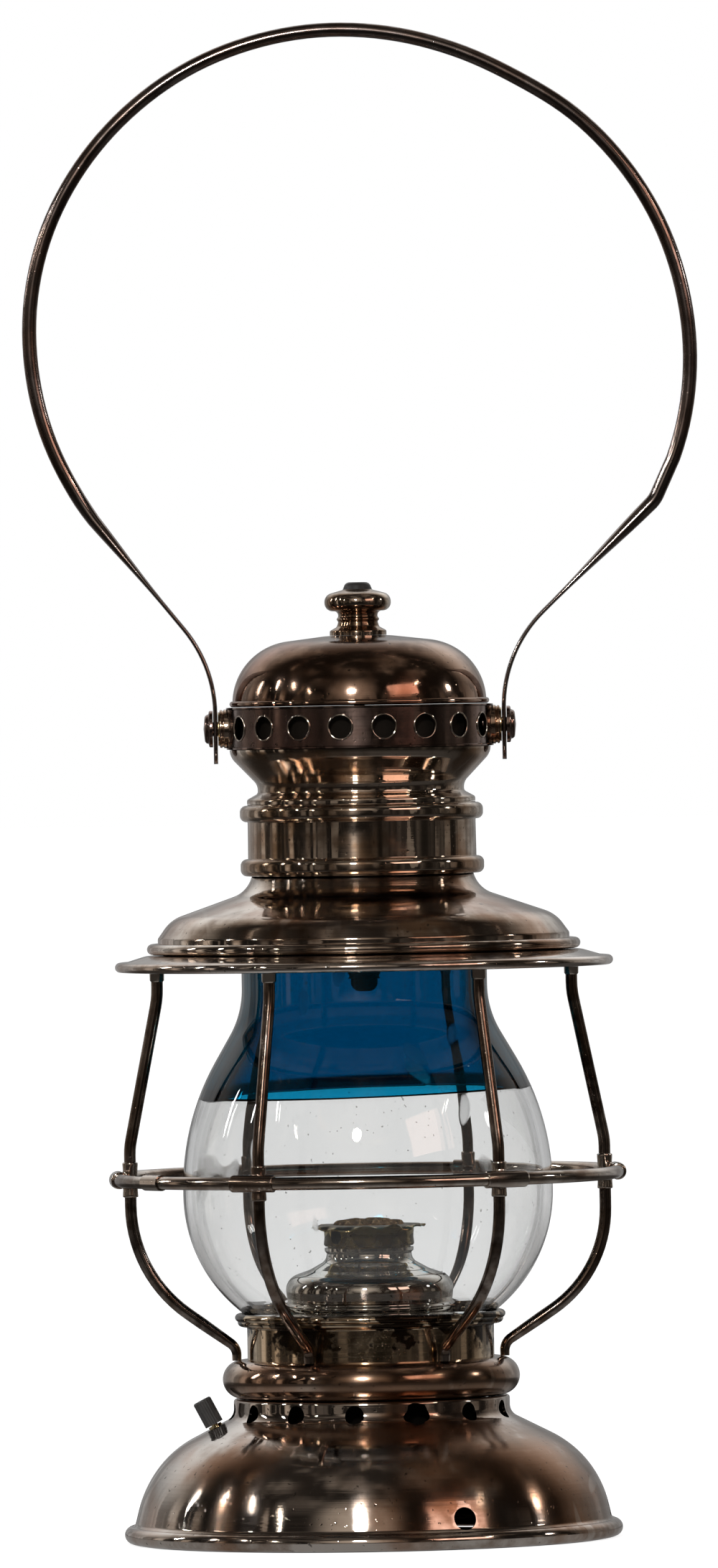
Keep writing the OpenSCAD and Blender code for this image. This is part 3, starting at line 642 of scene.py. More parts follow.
OLD_BRASS = AgedPlate(
    "old_brass", (0.74, 0.62, 0.38), (0.12, 0.085, 0.045), (0.38, 0.27, 0.12),
    bias=0.04, scale=46, smooth=0.13, rough=0.3, lines=0.2,
)
BURNER_BRASS = AgedPlate(
    "burner_brass", (0.66, 0.53, 0.27), (0.09, 0.068, 0.032), (0.24, 0.17, 0.07),
    bias=0.03, scale=38, smooth=0.14, rough=0.3, lines=0.2, patchy=True,
)
CLEAR_GLASS = LampGlass(
    "clear_glass", (0.858, 0.861, 0.859), (0.845, 0.85, 0.848), rim_from=60, rim_to=66
)
BLUE_GLASS = LampGlass(
    "blue_glass", (0.004, 0.235, 0.43), (0.004, 0.195, 0.325), rim_from=124.4, rim_to=128,
    streak=0.4, edge=1.0, seam=GLOBE_SEAM,
)
CHAR = DullSolid(
    "char", (0.30, 0.19, 0.10), (0.03, 0.022, 0.016), rough=0.95, scale=110, relief=0.9, shine=0.0
)
PHENOLIC = DullSolid(
    "phenolic", (0.030, 0.029, 0.028), (0.012, 0.012, 0.012), rough=0.38, scale=50, relief=0.25
)
CASE_PAPER = DullSolid(
    "case_paper", (0.10, 0.08, 0.06), (0.04, 0.03, 0.03), rough=0.7, scale=50, relief=0.4
)
# Near-black inner finish: soot inside the hood and chimney, and painted shade on the other inner faces, on
# faces that look down, and in holes that would otherwise show light.
SOOT_AND_SHADE = DullSolid(
    "soot_and_painted_shade", (0.007, 0.0055, 0.0042), (0.003, 0.0025, 0.002),
    rough=0.85, scale=60, relief=0.5, shine=0.04,
)


# Shapes


def up(z: float) -> Vector:
    """A vector straight up."""
    return Vector((0, 0, z))


def turn_out(turn_deg: float) -> Vector:
    """The horizontal direction at a turn from the front."""
    return Vector((math.sin(math.radians(turn_deg)), -math.cos(math.radians(turn_deg)), 0.0))


def leaned_out(turn_deg: float, lean_deg: float) -> Vector:
    """The direction at a turn from the front that rises by an angle."""
    lean = math.radians(lean_deg)
    return turn_out(turn_deg) * math.cos(lean) + up(math.sin(lean))


def rounded(corners: Sequence[Corner], step_deg: float = 5.0) -> list[Vector]:
    """A path through corners, each with its own round.

    Args:
        corners: Each corner as (x, y) or (x, y, radius).
        step_deg: The most that one step of a round turns.

    Returns:
        The path's points.
    """
    points = [Vector(c[:2]) for c in corners]
    path = [points[0]]
    for i in range(1, len(points) - 1):
        a, b, c = points[i - 1], points[i], points[i + 1]
        radius = corners[i][2] if len(corners[i]) > 2 else 0.0
        if radius == 0:
            path.append(b)
            continue
        before, after = (a - b).normalized(), (c - b).normalized()
        half = math.acos(max(-1.0, min(1.0, before.dot(after)))) / 2
        centre = b + (before + after).normalized() * radius / math.sin(half)
        first = b + before * radius / math.tan(half) - centre
        sweep = math.pi - 2 * half
        side = math.copysign(1.0, (b - a).cross(c - b))
        steps = max(2, math.ceil(math.degrees(sweep) / step_deg))
        start = math.atan2(first.y, first.x)
        for k in range(steps + 1):
            angle = start + side * sweep * k / steps
            path.append(centre + radius * Vector((math.cos(angle), math.sin(angle))))
    path.append(points[-1])
    return path


def subdivided(path: Sequence[Vector], longest: float) -> list[Vector]:
    """The path with its long straights divided.

    Args:
        path: The points.
        longest: The longest step that stays whole.

    Returns:
        The new points.
    """
    points: list[Vector] = []
    for a, b in zip(path, path[1:]):
        parts = max(1, math.ceil((b - a).length / longest))
        points += [a + (b - a) * k / parts for k in range(parts)]
    return points + [path[-1]]


def path_length(path: Sequence[Vector]) -> float:
    """The length of a path."""
    return sum((b - a).length for a, b in zip(path, path[1:]))


def moved_right(path: Sequence[Vector], distance: float) -> list[Vector]:
    """The path moved sideways to its right.

    Args:
        path: The points.
        distance: How far they move.

    Returns:
        The moved points.
    """
    moved = []
    for i, point in enumerate(path):
        before = (path[i] - path[i - 1]).normalized() if i > 0 else None
        after = (path[i + 1] - path[i]).normalized() if i < len(path) - 1 else None
        if before is None or after is None:
            along = after if before is None else before
            normal = Vector((along.y, -along.x))
        else:
            one, two = Vector((before.y, -before.x)), Vector((after.y, -after.x))
            middle = (one + two).normalized()
            normal = middle / middle.dot(two)
        moved.append(point + distance * normal)
    return moved


def sheet_section(path: list[Vector], wall: float) -> list[Vector]:
    """The closed section of a sheet, whose wall lies to the right of its outer face."""
    return path + list(reversed(moved_right(path, wall)))


def add_spun(bm: Mesh, section: Sequence[Vector | Corner], steps: int, closed: bool = True) -> None:
    """Spins a section about the vertical axis.

    Args:
        bm: The mesh that it goes into.
        section: Points of (radius, height), in millimetres.
        steps: How many facets go round.
        closed: Whether the last point joins the first.
    """
    verts = [bm.verts.new((p.x * MM, 0.0, p.y * MM)) for p in map(Vector, section)]
    pairs = list(zip(verts, verts[1:]))
    if closed:
        pairs.append((verts[-1], verts[0]))
    edges = [bm.edges.new(pair) for pair in pairs]
    bmesh.ops.spin(
        bm, geom=verts + edges, cent=(0, 0, 0), axis=(0, 0, 1), dvec=(0, 0, 0), angle=TURN, steps=steps,
        use_merge=True, use_duplicate=False,
    )


def spun_sheet(
    corners: Sequence[Corner], wall: float, step_deg: float, steps: int, lined: bool = False
) -> Mesh:
    """A piece of spun sheet.

    Args:
        corners: The outer face's corners, from the top down.
        wall: The sheet's thickness.
        step_deg: The most that one step of a round turns.
        steps: How many facets go round.
        lined: Whether the faces that look in or down take an inner finish.

    Returns:
        The mesh.
    """
    bm = bmesh.new()
    add_spun(bm, sheet_section(rounded(corners, step_deg), wall), steps)
    if lined:
        mark_inside(bm)
    return bm


def circle_section(radius: float, height: float, tube: float, count: int = 24) -> list[Vector]:
    """The section of a ring of round wire.

    Args:
        radius: The ring's centre line.
        height: The ring's height.
        tube: The wire's radius.
        count: The points round the wire.

    Returns:
        The section's points.
    """
    angles = [TURN * k / count for k in range(count)]
    return [Vector((radius + tube * math.cos(a), height + tube * math.sin(a))) for a in angles]


def add_swept(
    bm: Mesh,
    path: Sequence[Vector],
    size: Callable[[float], Triple],
    turn_deg: float,
    sides: int,
) -> None:
    """Sweeps a rod along a path in an upright plane, by bridging one ring to the next.

    Args:
        bm: The mesh that it goes into.
        path: Points of (distance outwards, height), in millimetres.
        size: From the distance travelled to the thickness in the plane, the width across it,
            and how square the section is, from 0 to 1.
        turn_deg: The turn from the front of the plane's outward direction.
        sides: How many facets go round the rod.
    """
    out = turn_out(turn_deg)
    side = Vector((-out.y, out.x, 0.0))
    travelled = 0.0
    before: list[bmesh.types.BMEdge] = []
    last = len(path) - 1
    for i, point in enumerate(path):
        if i > 0:
            travelled += (point - path[i - 1]).length
        heading = (path[min(i + 1, last)] - path[max(i - 1, 0)]).normalized()
        across = out * heading.y - up(heading.x)
        thick, wide, square = size(travelled)
        power = 1 - square / 2
        ring = bmesh.ops.create_circle(bm, cap_ends=False, radius=1.0, segments=sides)["verts"]
        for v in ring:
            u = math.copysign(abs(v.co.x) ** power, v.co.x) * thick / 2
            w = math.copysign(abs(v.co.y) ** power, v.co.y) * wide / 2
            v.co = (out * point.x + up(point.y) + across * u + side * w) * MM
        edges = list({e for v in ring for e in v.link_edges})
        if before:
            bmesh.ops.bridge_loops(bm, edges=before + edges)
        if i in (0, last):
            bmesh.ops.contextual_create(bm, geom=edges)
        before = edges


def turned_to(axis: Vector, place: Vector) -> Matrix:
    """The transform that takes the vertical axis to another one, with its foot at a place."""
    return Matrix.Translation(place * MM) @ axis.to_track_quat("Z", "Y").to_matrix().to_4x4()


def add_turned(
    bm: Mesh, section: Sequence[Vector | Corner], where: Matrix, steps: int, closed: bool = True
) -> None:
    """Spins a section about the vertical axis and then moves it.

    Args:
        bm: The mesh that it goes into.
        section: Points of (radius, height), in millimetres.
        where: The transform of the spun shape.
        steps: How many facets go round.
        closed: Whether the last point joins the first.
    """
    part = bmesh.new()
    add_spun(part, section, steps, closed)
    part.transform(where)
    add_copy(bm, part)


def add_copy(bm: Mesh, part: Mesh) -> None:
    """Adds one mesh to another and frees it.

    Args:
        bm: The mesh that is added to.
        part: The mesh that is added.
    """
    merge(part)
    kept = bpy.data.meshes.new("part")
    part.to_mesh(kept)
    part.free()
    bm.from_mesh(kept)
    bpy.data.meshes.remove(kept)


def merge(bm: Mesh) -> None:
    """Merges doubles and turns the faces outwards.

    Args:
        bm: The mesh.
    """
    bmesh.ops.remove_doubles(bm, verts=bm.verts, dist=1e-6)
    bmesh.ops.dissolve_degenerate(bm, edges=bm.edges, dist=1e-7)
    bmesh.ops.recalc_face_normals(bm, faces=bm.faces)


def mark_inside(bm: Mesh) -> None:
    """Marks the faces of spun sheet that look in or down, which take a piece's inner finish of soot and
    painted shade, so that the faces looking down stay dark.

    Args:
        bm: The mesh.
    """
    merge(bm)
    for f in bm.faces:
        centre = f.calc_center_median()
        outwards = Vector((centre.x, centre.y, 0.0)).normalized() + up(1)
        f.material_index = 1 if f.normal.dot(outwards) < -0.05 else 0


def mark_where(bm: Mesh, inner: Callable[[float], bool]) -> None:
    """Merges a mesh and marks its faces for the inner finish by their height.

    Args:
        bm: The mesh.
        inner: From a face's height in millimetres to whether it takes the inner finish.
    """
    merge(bm)
    for f in bm.faces:
        f.material_index = int(inner(f.calc_center_median().z / MM))


def dent(bm: Mesh, amount: float, scale: float, seed: float) -> None:
    """Gives spun sheet the slight unevenness of use, the same on both faces.

    Args:
        bm: The mesh.
        amount: The most that a point moves, in millimetres.
        scale: How many dents there are to a metre.
        seed: Which dents they are.
    """
    for v in bm.verts:
        flat = Vector((v.co.x, v.co.y, 0.0))
        if flat.length < 1e-5:
            continue
        v.co += flat.normalized() * noise.noise(v.co * scale + Vector((seed, 0, 0))) * amount * MM


def cylinder_along(axis: Vector, centre: Vector, radius: float, length: float, sides: int = 40) -> Mesh:
    """A closed cylinder along an axis, centred at a point.

    Args:
        axis: Its direction.
        centre: Its middle, in millimetres.
        radius: Its radius, in millimetres.
        length: Its length, in millimetres.
        sides: How many facets go round.

    Returns:
        The mesh.
    """
    bm = bmesh.new()
    bmesh.ops.create_cone(
        bm, cap_ends=True, segments=sides, radius1=radius * MM, radius2=radius * MM, depth=length * MM
    )
    bm.transform(turned_to(axis, centre))
    return bm


@dataclass
class Shop:
    """Where pieces are finished: shaded, painted, and hung on their bodies."""

    finishes: Finishes

    def finish(
        self,
        name: str,
        bm: Mesh,
        look: Look,
        body: Body,
        stands_for: Sequence[str] = (),
        sharp_deg: float = 38.0,
        holes: Sequence[Mesh] = (),
        inside: Optional[DullSolid] = None,
    ) -> None:
        """Makes a finished piece from a mesh.

        Args:
            name: The piece's name.
            bm: Its mesh, which is freed.
            look: Its finish.
            body: The body that it rides on.
            stands_for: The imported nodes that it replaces.
            sharp_deg: Edges that turn more than this stay sharp.
            holes: Closed meshes that are cut from it.
            inside: The finish of the faces marked as inner ones.
        """
        merge(bm)
        piece = self.to_object(name, bm)
        if holes:
            self.cut(piece, holes)
        self.shade(piece, sharp_deg)
        marks = [face.material_index for face in piece.data.polygons]
        piece.data.materials.clear()
        piece.data.materials.append(self.finishes.get(look))
        if inside:
            piece.data.materials.append(self.finishes.get(inside))
            piece.data.polygons.foreach_set("material_index", [min(mark, 1) for mark in marks])
        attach(piece, body.value)
        if stands_for:
            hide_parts(*stands_for)
        LOG.info("%s: %d faces on %s", name, len(piece.data.polygons), body.value)

    @staticmethod
    def to_object(name: str, bm: Mesh) -> bpy.types.Object:
        """Turns a mesh into a linked object and frees it.

        Args:
            name: The object's name.
            bm: The mesh.

        Returns:
            The object.
        """
        mesh = bpy.data.meshes.new(name)
        bm.to_mesh(mesh)
        bm.free()
        made = bpy.data.objects.new(name, mesh)
        bpy.context.scene.collection.objects.link(made)
        return made

    @staticmethod
    def bake(piece: bpy.types.Object) -> None:
        """Applies the piece's modifiers to its mesh.

        Args:
            piece: The piece.
        """
        bpy.context.view_layer.update()
        graph = bpy.context.evaluated_depsgraph_get()
        mesh = bpy.data.meshes.new_from_object(piece.evaluated_get(graph))
        old = piece.data
        piece.modifiers.clear()
        piece.data = mesh
        mesh.name = piece.name
        bpy.data.meshes.remove(old)

    def cut(self, piece: bpy.types.Object, holes: Sequence[Mesh]) -> None:
        """Cuts closed meshes out of a piece.

        Args:
            piece: The piece.
            holes: The meshes to cut away, which are freed.
        """
        whole = bmesh.new()
        for hole in holes:
            add_copy(whole, hole)
        tool = self.to_object("hole_tool", whole)
        cutter = piece.modifiers.new("holes", "BOOLEAN")
        cutter.operation = "DIFFERENCE"
        cutter.solver = "EXACT"
        cutter.object = tool
        self.bake(piece)
        old = tool.data
        bpy.data.objects.remove(tool)
        bpy.data.meshes.remove(old)

    @staticmethod
    def shade(piece: bpy.types.Object, sharp_deg: float) -> None:
        """Shades a piece smooth, apart from its sharp edges.

        Args:
            piece: The piece.
            sharp_deg: Edges that turn more than this stay sharp.
        """
        bm = bmesh.new()
        bm.from_mesh(piece.data)
        for f in bm.faces:
            f.smooth = True
        limit = math.radians(sharp_deg)
        for e in bm.edges:
            e.smooth = len(e.link_faces) == 2 and e.calc_face_angle(0.0) < limit
        bm.to_mesh(piece.data)
        bm.free()

    def softened(self, bm: Mesh, voxel: float, rounds: int) -> Mesh:
        """Fuses a mesh's overlapping solids into one soft skin.

        Args:
            bm: The mesh, which is freed.
            voxel: The grid's step, in millimetres.
            rounds: How many times the skin is smoothed.

        Returns:
            The fused mesh.
        """
        merge(bm)
        piece = self.to_object("rough", bm)
        fuse = piece.modifiers.new("fuse", "REMESH")
        fuse.mode = "VOXEL"
        fuse.voxel_size = voxel * MM
        ease = piece.modifiers.new("ease", "SMOOTH")
        ease.factor = 0.5
        ease.iterations = rounds
        self.bake(piece)
        soft = bmesh.new()
        soft.from_mesh(piece.data)
        bpy.data.objects.remove(piece)
        return soft

    def paint_nodes(self, look: Look, *nodes: str) -> None:
        """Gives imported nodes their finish.

        Args:
            look: The finish.
            *nodes: The nodes' names.
        """
        for node in nodes:
            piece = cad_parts[node]
            piece.data.materials.clear()
            piece.data.materials.append(self.finishes.get(look))
            LOG.info("%s: painted as %s", node, look.name)


# Sub-assemblies


@dataclass
class Base:
    """The bell-shaped base, the frame collar and the globe's holder."""

    foot_r: float = 69.4
    roll_r: float = 2.4
    neck_r: float = 38.5
    height: float = 39.8
    wall: float = 0.8
    hole_count: int = 14
    hole_d: float = 5.3
    hole_z: float = 36.0
    hole_lean: float = 27.0
    hole_phase: float = -7.2
    worn_hole: int = 1
    worn_by: float = 0.55
    worn_uneven: float = 0.45
    inlet_d: float = 6.5
    inlet_r: float = 65.6
    inlet_z: float = 8.3
    inlet_turn: float = 22.5
    inlet_lean: float = 13.33
    bush_hole_d: float = 3.88
    collar_r: float = 5.3
    collar_line_r: float = 36.1
    collar_z: float = 45.2
    collar_steps: int = 40
    holder_r: float = 34.4
    holder_foot: float = 43.5
    holder_top: float = 59.9
    lip: float = 2.6

    def draught_hole(self, i: int) -> Mesh:
        """The cutter of one draught hole, one of which is worn out of round.

        Args:
            i: Which hole.

        Returns:
            Its closed mesh.
        """
        turn = self.hole_phase + i * 360 / self.hole_count
        axis = leaned_out(turn, self.hole_lean)
        middle = turn_out(turn) * (self.neck_r + 0.3) + up(self.hole_z)
        worn = self.worn_by if i == self.worn_hole else 0.0
        hole = cylinder_along(axis, middle, self.hole_d / 2 + worn, length=12)
        if worn:
            for v in hole.verts:
                side = v.co - middle * MM
                side -= axis * side.dot(axis)
                v.co += side * self.worn_uneven * noise.noise(side * 420 + Vector((5.3, 0, 0)))
        return hole

    def holes(self) -> list[Mesh]:
        """The draught holes, the cord's inlet and the switch's hole.

        Returns:
            Their cutters.
        """
        made = [self.draught_hole(i) for i in range(self.hole_count)]
        inlet = turn_out(self.inlet_turn) * self.inlet_r + up(self.inlet_z)
        inlet_axis = leaned_out(self.inlet_turn, self.inlet_lean)
        made.append(cylinder_along(inlet_axis, inlet, self.inlet_d / 2, length=8, sides=56))
        made.append(cylinder_along(Switch.axis(), Switch.foot(), self.bush_hole_d / 2, length=8))
        return made

    def shell(self) -> Mesh:
        """The spun bell over its rolled foot.

        Returns:
            Its mesh.
        """
        corners = [
            (self.neck_r - 2.9, self.height),
            (self.neck_r, self.height, 0.9),
            (self.neck_r, self.height - 5.0, 3.6),
            (self.foot_r - 7.2, 22.7, 30),
            (self.foot_r - 3.1, 5.4, 1),
            (self.foot_r - 1.9, 2 * self.roll_r - 0.6),
        ]
        bm = spun_sheet(corners, self.wall, step_deg=3, steps=192, lined=True)
        dent(bm, amount=0.22, scale=38, seed=3.1)
        add_spun(bm, circle_section(self.foot_r - self.roll_r, self.roll_r, self.roll_r), steps=192)
        return bm

    def collar(self) -> Mesh:
        """The half-round bead between the base and the holder.

        Returns:
            Its mesh.
        """
        reach = math.acos((self.holder_r + 0.04 - self.collar_line_r) / self.collar_r)
        angles = [reach - 2 * reach * k / self.collar_steps for k in range(self.collar_steps + 1)]
        arc = [
            Vector((
                self.collar_line_r + self.collar_r * math.cos(a),
                self.collar_z + self.collar_r * math.sin(a),
            ))
            for a in angles
        ]
        bm = bmesh.new()
        add_spun(bm, sheet_section(arc, self.wall), steps=160)
        dent(bm, amount=0.10, scale=60, seed=8.4)
        return bm

    def holder(self) -> Mesh:
        """The band round the globe's foot, with its rolled lip.

        Returns:
            Its mesh.
        """
        lip_r = self.holder_r + self.lip
        corners = [
            (lip_r, self.holder_top + 2.2),
            (lip_r, self.holder_top, 1.2),
            (self.holder_r, self.holder_top, 0.6),
            (self.holder_r, self.holder_foot),
        ]
        bm = spun_sheet(corners, self.wall, step_deg=5, steps=160)
        dent(bm, amount=0.14, scale=70, seed=1.7)
        add_spun(bm, circle_section(lip_r - self.wall / 2, self.holder_top + 2.5, 1.1), steps=160)
        return bm

    def build(self, shop: Shop) -> None:
        """Builds the base.

        Args:
            shop: Where pieces are finished.
        """
        body, copper = Body.FRAME, Slot.COPPER
        shop.finish(
            "bell_base", self.shell(), BASE_PLATE, body, ["base_shell"],
            holes=self.holes(), inside=SOOT_AND_SHADE,
        )
        shop.finish("collar_bead", self.collar(), COLLAR_COPPER, body, ["frame_collar"])
        shop.finish("globe_holder_band", self.holder(), HOLDER_PATINA, body, ["globe_holder"])
        shop.paint_nodes(FOUNT_SILVER, "globe_seat_plate")


@dataclass
class Globe:
    """The blown globe, clear below and blue above, fused along a seam."""

    foot_z: float = 60.9
    top_z: float = 165.9
    shoulder_h: float = 86.2
    neck_r: float = 34.2
    belly_r: float = 51.5
    glass: float = 2.4
    lean: float = 30.1
    seam: Seam = GLOBE_SEAM
    seam_gap: float = 0.02

    def corners(self) -> list[Corner]:
        """The outer face's corners, from the top down.

        Returns:
            The corners.
        """
        shoulder = self.foot_z + self.shoulder_h
        belly = shoulder - (self.belly_r - self.neck_r) / math.tan(math.radians(self.lean))
        return [
            (self.neck_r, self.top_z),
            (self.neck_r, shoulder, 26),
            (self.belly_r, belly, 71),
            (self.belly_r, self.foot_z + 16.2, 42),
            (self.neck_r + 0.7, self.foot_z + 2.2, 1.8),
            (self.neck_r - 0.6, self.foot_z),
        ]

    def half(self, upper: bool) -> Mesh:
        """One colour of the globe.

        Args:
            upper: Whether it is the blue part.

        Returns:
            Its closed mesh.
        """
        bm = spun_sheet(self.corners(), self.glass, step_deg=2.5, steps=192)
        merge(bm)
        gap = self.seam_gap if upper else -self.seam_gap
        cut = bmesh.ops.bisect_plane(
            bm, geom=bm.verts[:] + bm.edges[:] + bm.faces[:], dist=1e-7,
            plane_co=up((self.seam.z + gap) * MM), plane_no=self.seam.normal(),
            clear_inner=upper, clear_outer=not upper,
        )["geom_cut"]
        bmesh.ops.bridge_loops(bm, edges=[g for g in cut if isinstance(g, bmesh.types.BMEdge)])
        return bm

    def build(self, shop: Shop) -> None:
        """Builds both glasses.

        Args:
            shop: Where pieces are finished.
        """
        shop.finish("clear_globe", self.half(False), CLEAR_GLASS, Body.FRAME, ["globe_clear"])
        shop.finish("blue_globe", self.half(True), BLUE_GLASS, Body.FRAME, ["globe_blue"])


@dataclass
class Guard:
    """The wire guard: a ring, upright wires, the fittings between them, and ferrules at the brim."""

    count: int = 6
    first_turn: float = -27.0
    wire_d: float = 3.3
    ring_r: float = 69.7
    ring_d: float = 3.6
    ring_z: float = 101.4
    wire_r: float = 66.2
    top_r: float = 57.8
    brim_z: float = 162.8
    foot_r: float = 37.4
    foot_z: float = 50.55
    sag: tuple[float, ...] = (0.0, 0.4, 2.6, 0.6, 1.0, 0.8)
    drawn: float = 14.0
    sleeve_r: float = 2.4
    sleeve_half: float = 5.3
    sleeve_steps: int = 9
    saddle_d: float = 3.8
    ferrule_h: float = 6.4
    ferrule_bore: float = 3.38
    joint_turn: float = -58.0
    joint_h: float = 8.2

    def turn(self, i: int) -> float:
        """The turn of one wire from the front."""
        return self.first_turn + i * 360 / self.count

    def wire(self, i: int) -> Mesh:
        """One upright wire, a little slimmer at its foot.

        Args:
            i: Which wire.

        Returns:
            Its mesh.
        """
        path = subdivided(rounded([
            (self.top_r, self.brim_z - 0.1),
            (self.top_r, self.brim_z - 10.8, 25),
            (self.wire_r, self.ring_z + 9, 20),
            (self.wire_r, self.ring_z - 25.6 - self.sag[i], 39 - 2 * self.sag[i]),
            (self.foot_r, self.foot_z + 3.55, 4),
            (self.foot_r, self.foot_z - 0.05),
        ], step_deg=4), longest=6)
        whole = path_length(path)

        def size(done: float) -> Triple:
            """The wire's section, drawn thinner over its last stretch."""
            share = max(0.0, 1 - (whole - done) / self.drawn)
            return self.wire_d * (1 - 0.22 * share), self.wire_d * (1 - 0.05 * share), 0.0

        bm = bmesh.new()
        add_swept(bm, path, size, turn_deg=self.turn(i), sides=20)
        return bm

    def fitting(self, i: int) -> Mesh:
        """One cross-shaped fitting: a sleeve on the ring, a collar on the wire and a saddle between.

        Args:
            i: Which wire it is on.

        Returns:
            Its mesh.
        """
        bm = bmesh.new()
        turn = self.turn(i)
        out = turn_out(turn)
        centre = out * self.wire_r + up(self.ring_z)
        half_collar = ((0, 0.4), (1.95, 0.4), (2.1, 3.2), (2.2, 4.9), (0, 4.9))
        for side in (-1, 1):
            collar = [(r, side * z) for r, z in half_collar]
            add_turned(bm, collar, Matrix.Translation(centre * MM), steps=32, closed=False)
        add_copy(bm, self.sleeve(turn))
        middle = out * (self.wire_r + 1.75) + up(self.ring_z)
        add_copy(bm, cylinder_along(out, middle, self.saddle_d / 2, length=3.5, sides=28))
        return bm

    def sleeve(self, turn: float) -> Mesh:
        """A short sleeve bent along the ring.

        Args:
            turn: The turn of its middle from the front.

        Returns:
            Its mesh.
        """
        bm = bmesh.new()
        before: list[bmesh.types.BMEdge] = []
        for k in range(self.sleeve_steps + 1):
            place = turn_out(turn - self.sleeve_half + 2 * self.sleeve_half * k / self.sleeve_steps)
            ring = bmesh.ops.create_circle(
                bm, cap_ends=k in (0, self.sleeve_steps), radius=self.sleeve_r * MM, segments=28
            )["verts"]
            across = Vector((place.y, -place.x, 0))
            move = turned_to(across, place * self.ring_r + up(self.ring_z))
            bmesh.ops.transform(bm, matrix=move, verts=ring)
            edges = [e for e in bm.edges if all(v in ring for v in e.verts)]
            if before:
                bmesh.ops.bridge_loops(bm, edges=before + edges)
            before = edges
        return bm

    def ferrules(self) -> Mesh:
        """The small ferrules where the wires meet the brim.

        Returns:
            Their mesh.
        """
        bm = bmesh.new()
        foot = self.brim_z - self.ferrule_h
        bore = self.ferrule_bore / 2
        section = [
            (bore, self.brim_z),
            (2.35, self.brim_z),
            (2.1, self.brim_z - 1.2),
            (2.0, foot + 0.4),
            (bore, foot),
        ]
        for i in range(self.count):
            add_turned(bm, section, Matrix.Translation(turn_out(self.turn(i)) * self.top_r * MM), steps=28)
        return bm

    def joint(self) -> Mesh:
        """The sleeve over the ring's joint.

        Returns:
            Its mesh.
        """
        bm = bmesh.new()
        end = self.joint_h / 2
        out = turn_out(self.joint_turn)
        where = turned_to(Vector((out.y, -out.x, 0)), out * self.ring_r + up(self.ring_z))
        add_turned(bm, [(1.84, -end), (2.2, -end), (2.2, end), (1.84, end)], where, steps=32)
        return bm

    def build(self, shop: Shop) -> None:
        """Builds the guard.

        Args:
            shop: Where pieces are finished.
        """
        body, plate, silver = Body.FRAME, Slot.PLATE, Slot.SILVER
        bm = bmesh.new()
        add_spun(bm, circle_section(self.ring_r, self.ring_z, self.ring_d / 2, count=28), steps=240)
        shop.finish("guard_hoop", bm, RING_PLATE, body, ["guard_ring"])
        for i in range(self.count):
            n = i + 1
            wire = self.wire(i)
            shop.finish(
                f"upright_wire_{n}", wire, WIRE_PLATE, body, [f"guard_wire_{n}"], sharp_deg=60
            )
            soft = shop.softened(self.fitting(i), voxel=0.26, rounds=4)
            shop.finish(
                f"cross_fitting_{n}", soft, BRIGHT_SILVER, body, [f"guard_fitting_{n}"], sharp_deg=60
            )
        shop.finish("brim_ferrules", self.ferrules(), BRIGHT_SILVER, body, ["wire_ferrules"])
        shop.finish("hoop_joint", self.joint(), RING_PLATE, body, ["ring_joint_sleeve"])


@dataclass
class Hood:
    """The brim, its hinge and the conical hood over it."""

    brim_r: float = 69.4
    brim_z: float = 162.8
    roll_r: float = 1.35
    fall: float = 2.2
    bead_r: float = 60.4
    neck_r: float = 30.6
    hood_z: float = 163.9
    neck_z: float = 181.5
    neck_top: float = 198.0
    wall: float = 0.8

    def brim(self) -> Mesh:
        """The brim plate with its upstand and its rolled edge.

        Returns:
            Its mesh.
        """
        upstand = self.bead_r - 5
        edge_r, edge_z = self.brim_r - self.roll_r, self.brim_z + self.wall - self.fall
        corners = [
            (upstand, self.brim_z + 2.6),
            (upstand, self.brim_z + self.wall, 0.5),
            (self.bead_r + 0.3, self.brim_z + self.wall, 6),
            (edge_r, edge_z),
        ]
        bm = spun_sheet(corners, self.wall, step_deg=5, steps=192)
        add_spun(bm, circle_section(edge_r, edge_z - 0.9, self.roll_r, count=20), steps=192)
        return bm

    def cone(self) -> Mesh:
        """The hood with the bead at its lower edge.

        Returns:
            Its mesh.
        """
        skirt_r = self.bead_r - 2.9
        corners = [
            (self.neck_r, self.neck_top),
            (self.neck_r, self.neck_z, 8),
            (self.bead_r - 6.6, self.hood_z + 9.6, 10),
            (skirt_r, self.hood_z + 4.4, 1.2),
            (skirt_r, self.hood_z + 1.6),
        ]
        bm = spun_sheet(corners, self.wall, step_deg=3, steps=192, lined=True)
        dent(bm, amount=0.25, scale=36, seed=5.5)
        add_spun(bm, circle_section(self.bead_r - 1.5, self.hood_z + 1.5, 1.5, count=20), steps=192)
        return bm

    def build(self, shop: Shop) -> None:
        """Builds the brim and hood.

        Args:
            shop: Where pieces are finished.
        """
        shop.finish("rolled_brim", self.brim(), BRIM_SILVER, Body.FRAME, ["brim_ring"])
        shop.finish("cone_hood", self.cone(), HOOD_PLATE, Body.HOOD, ["hood_shell"], inside=SOOT_AND_SHADE)
        shop.paint_nodes(BRIGHT_SILVER, "hinge_brim_leaf", "hinge_hood_leaf")
        shop.paint_nodes(OLD_BRASS, "hinge_pin", "finial_rod", "rod_lock_nut")
        shop.paint_nodes(SOOT_AND_SHADE, "globe_retainer", "smoke_bell", "rod_end_knob")


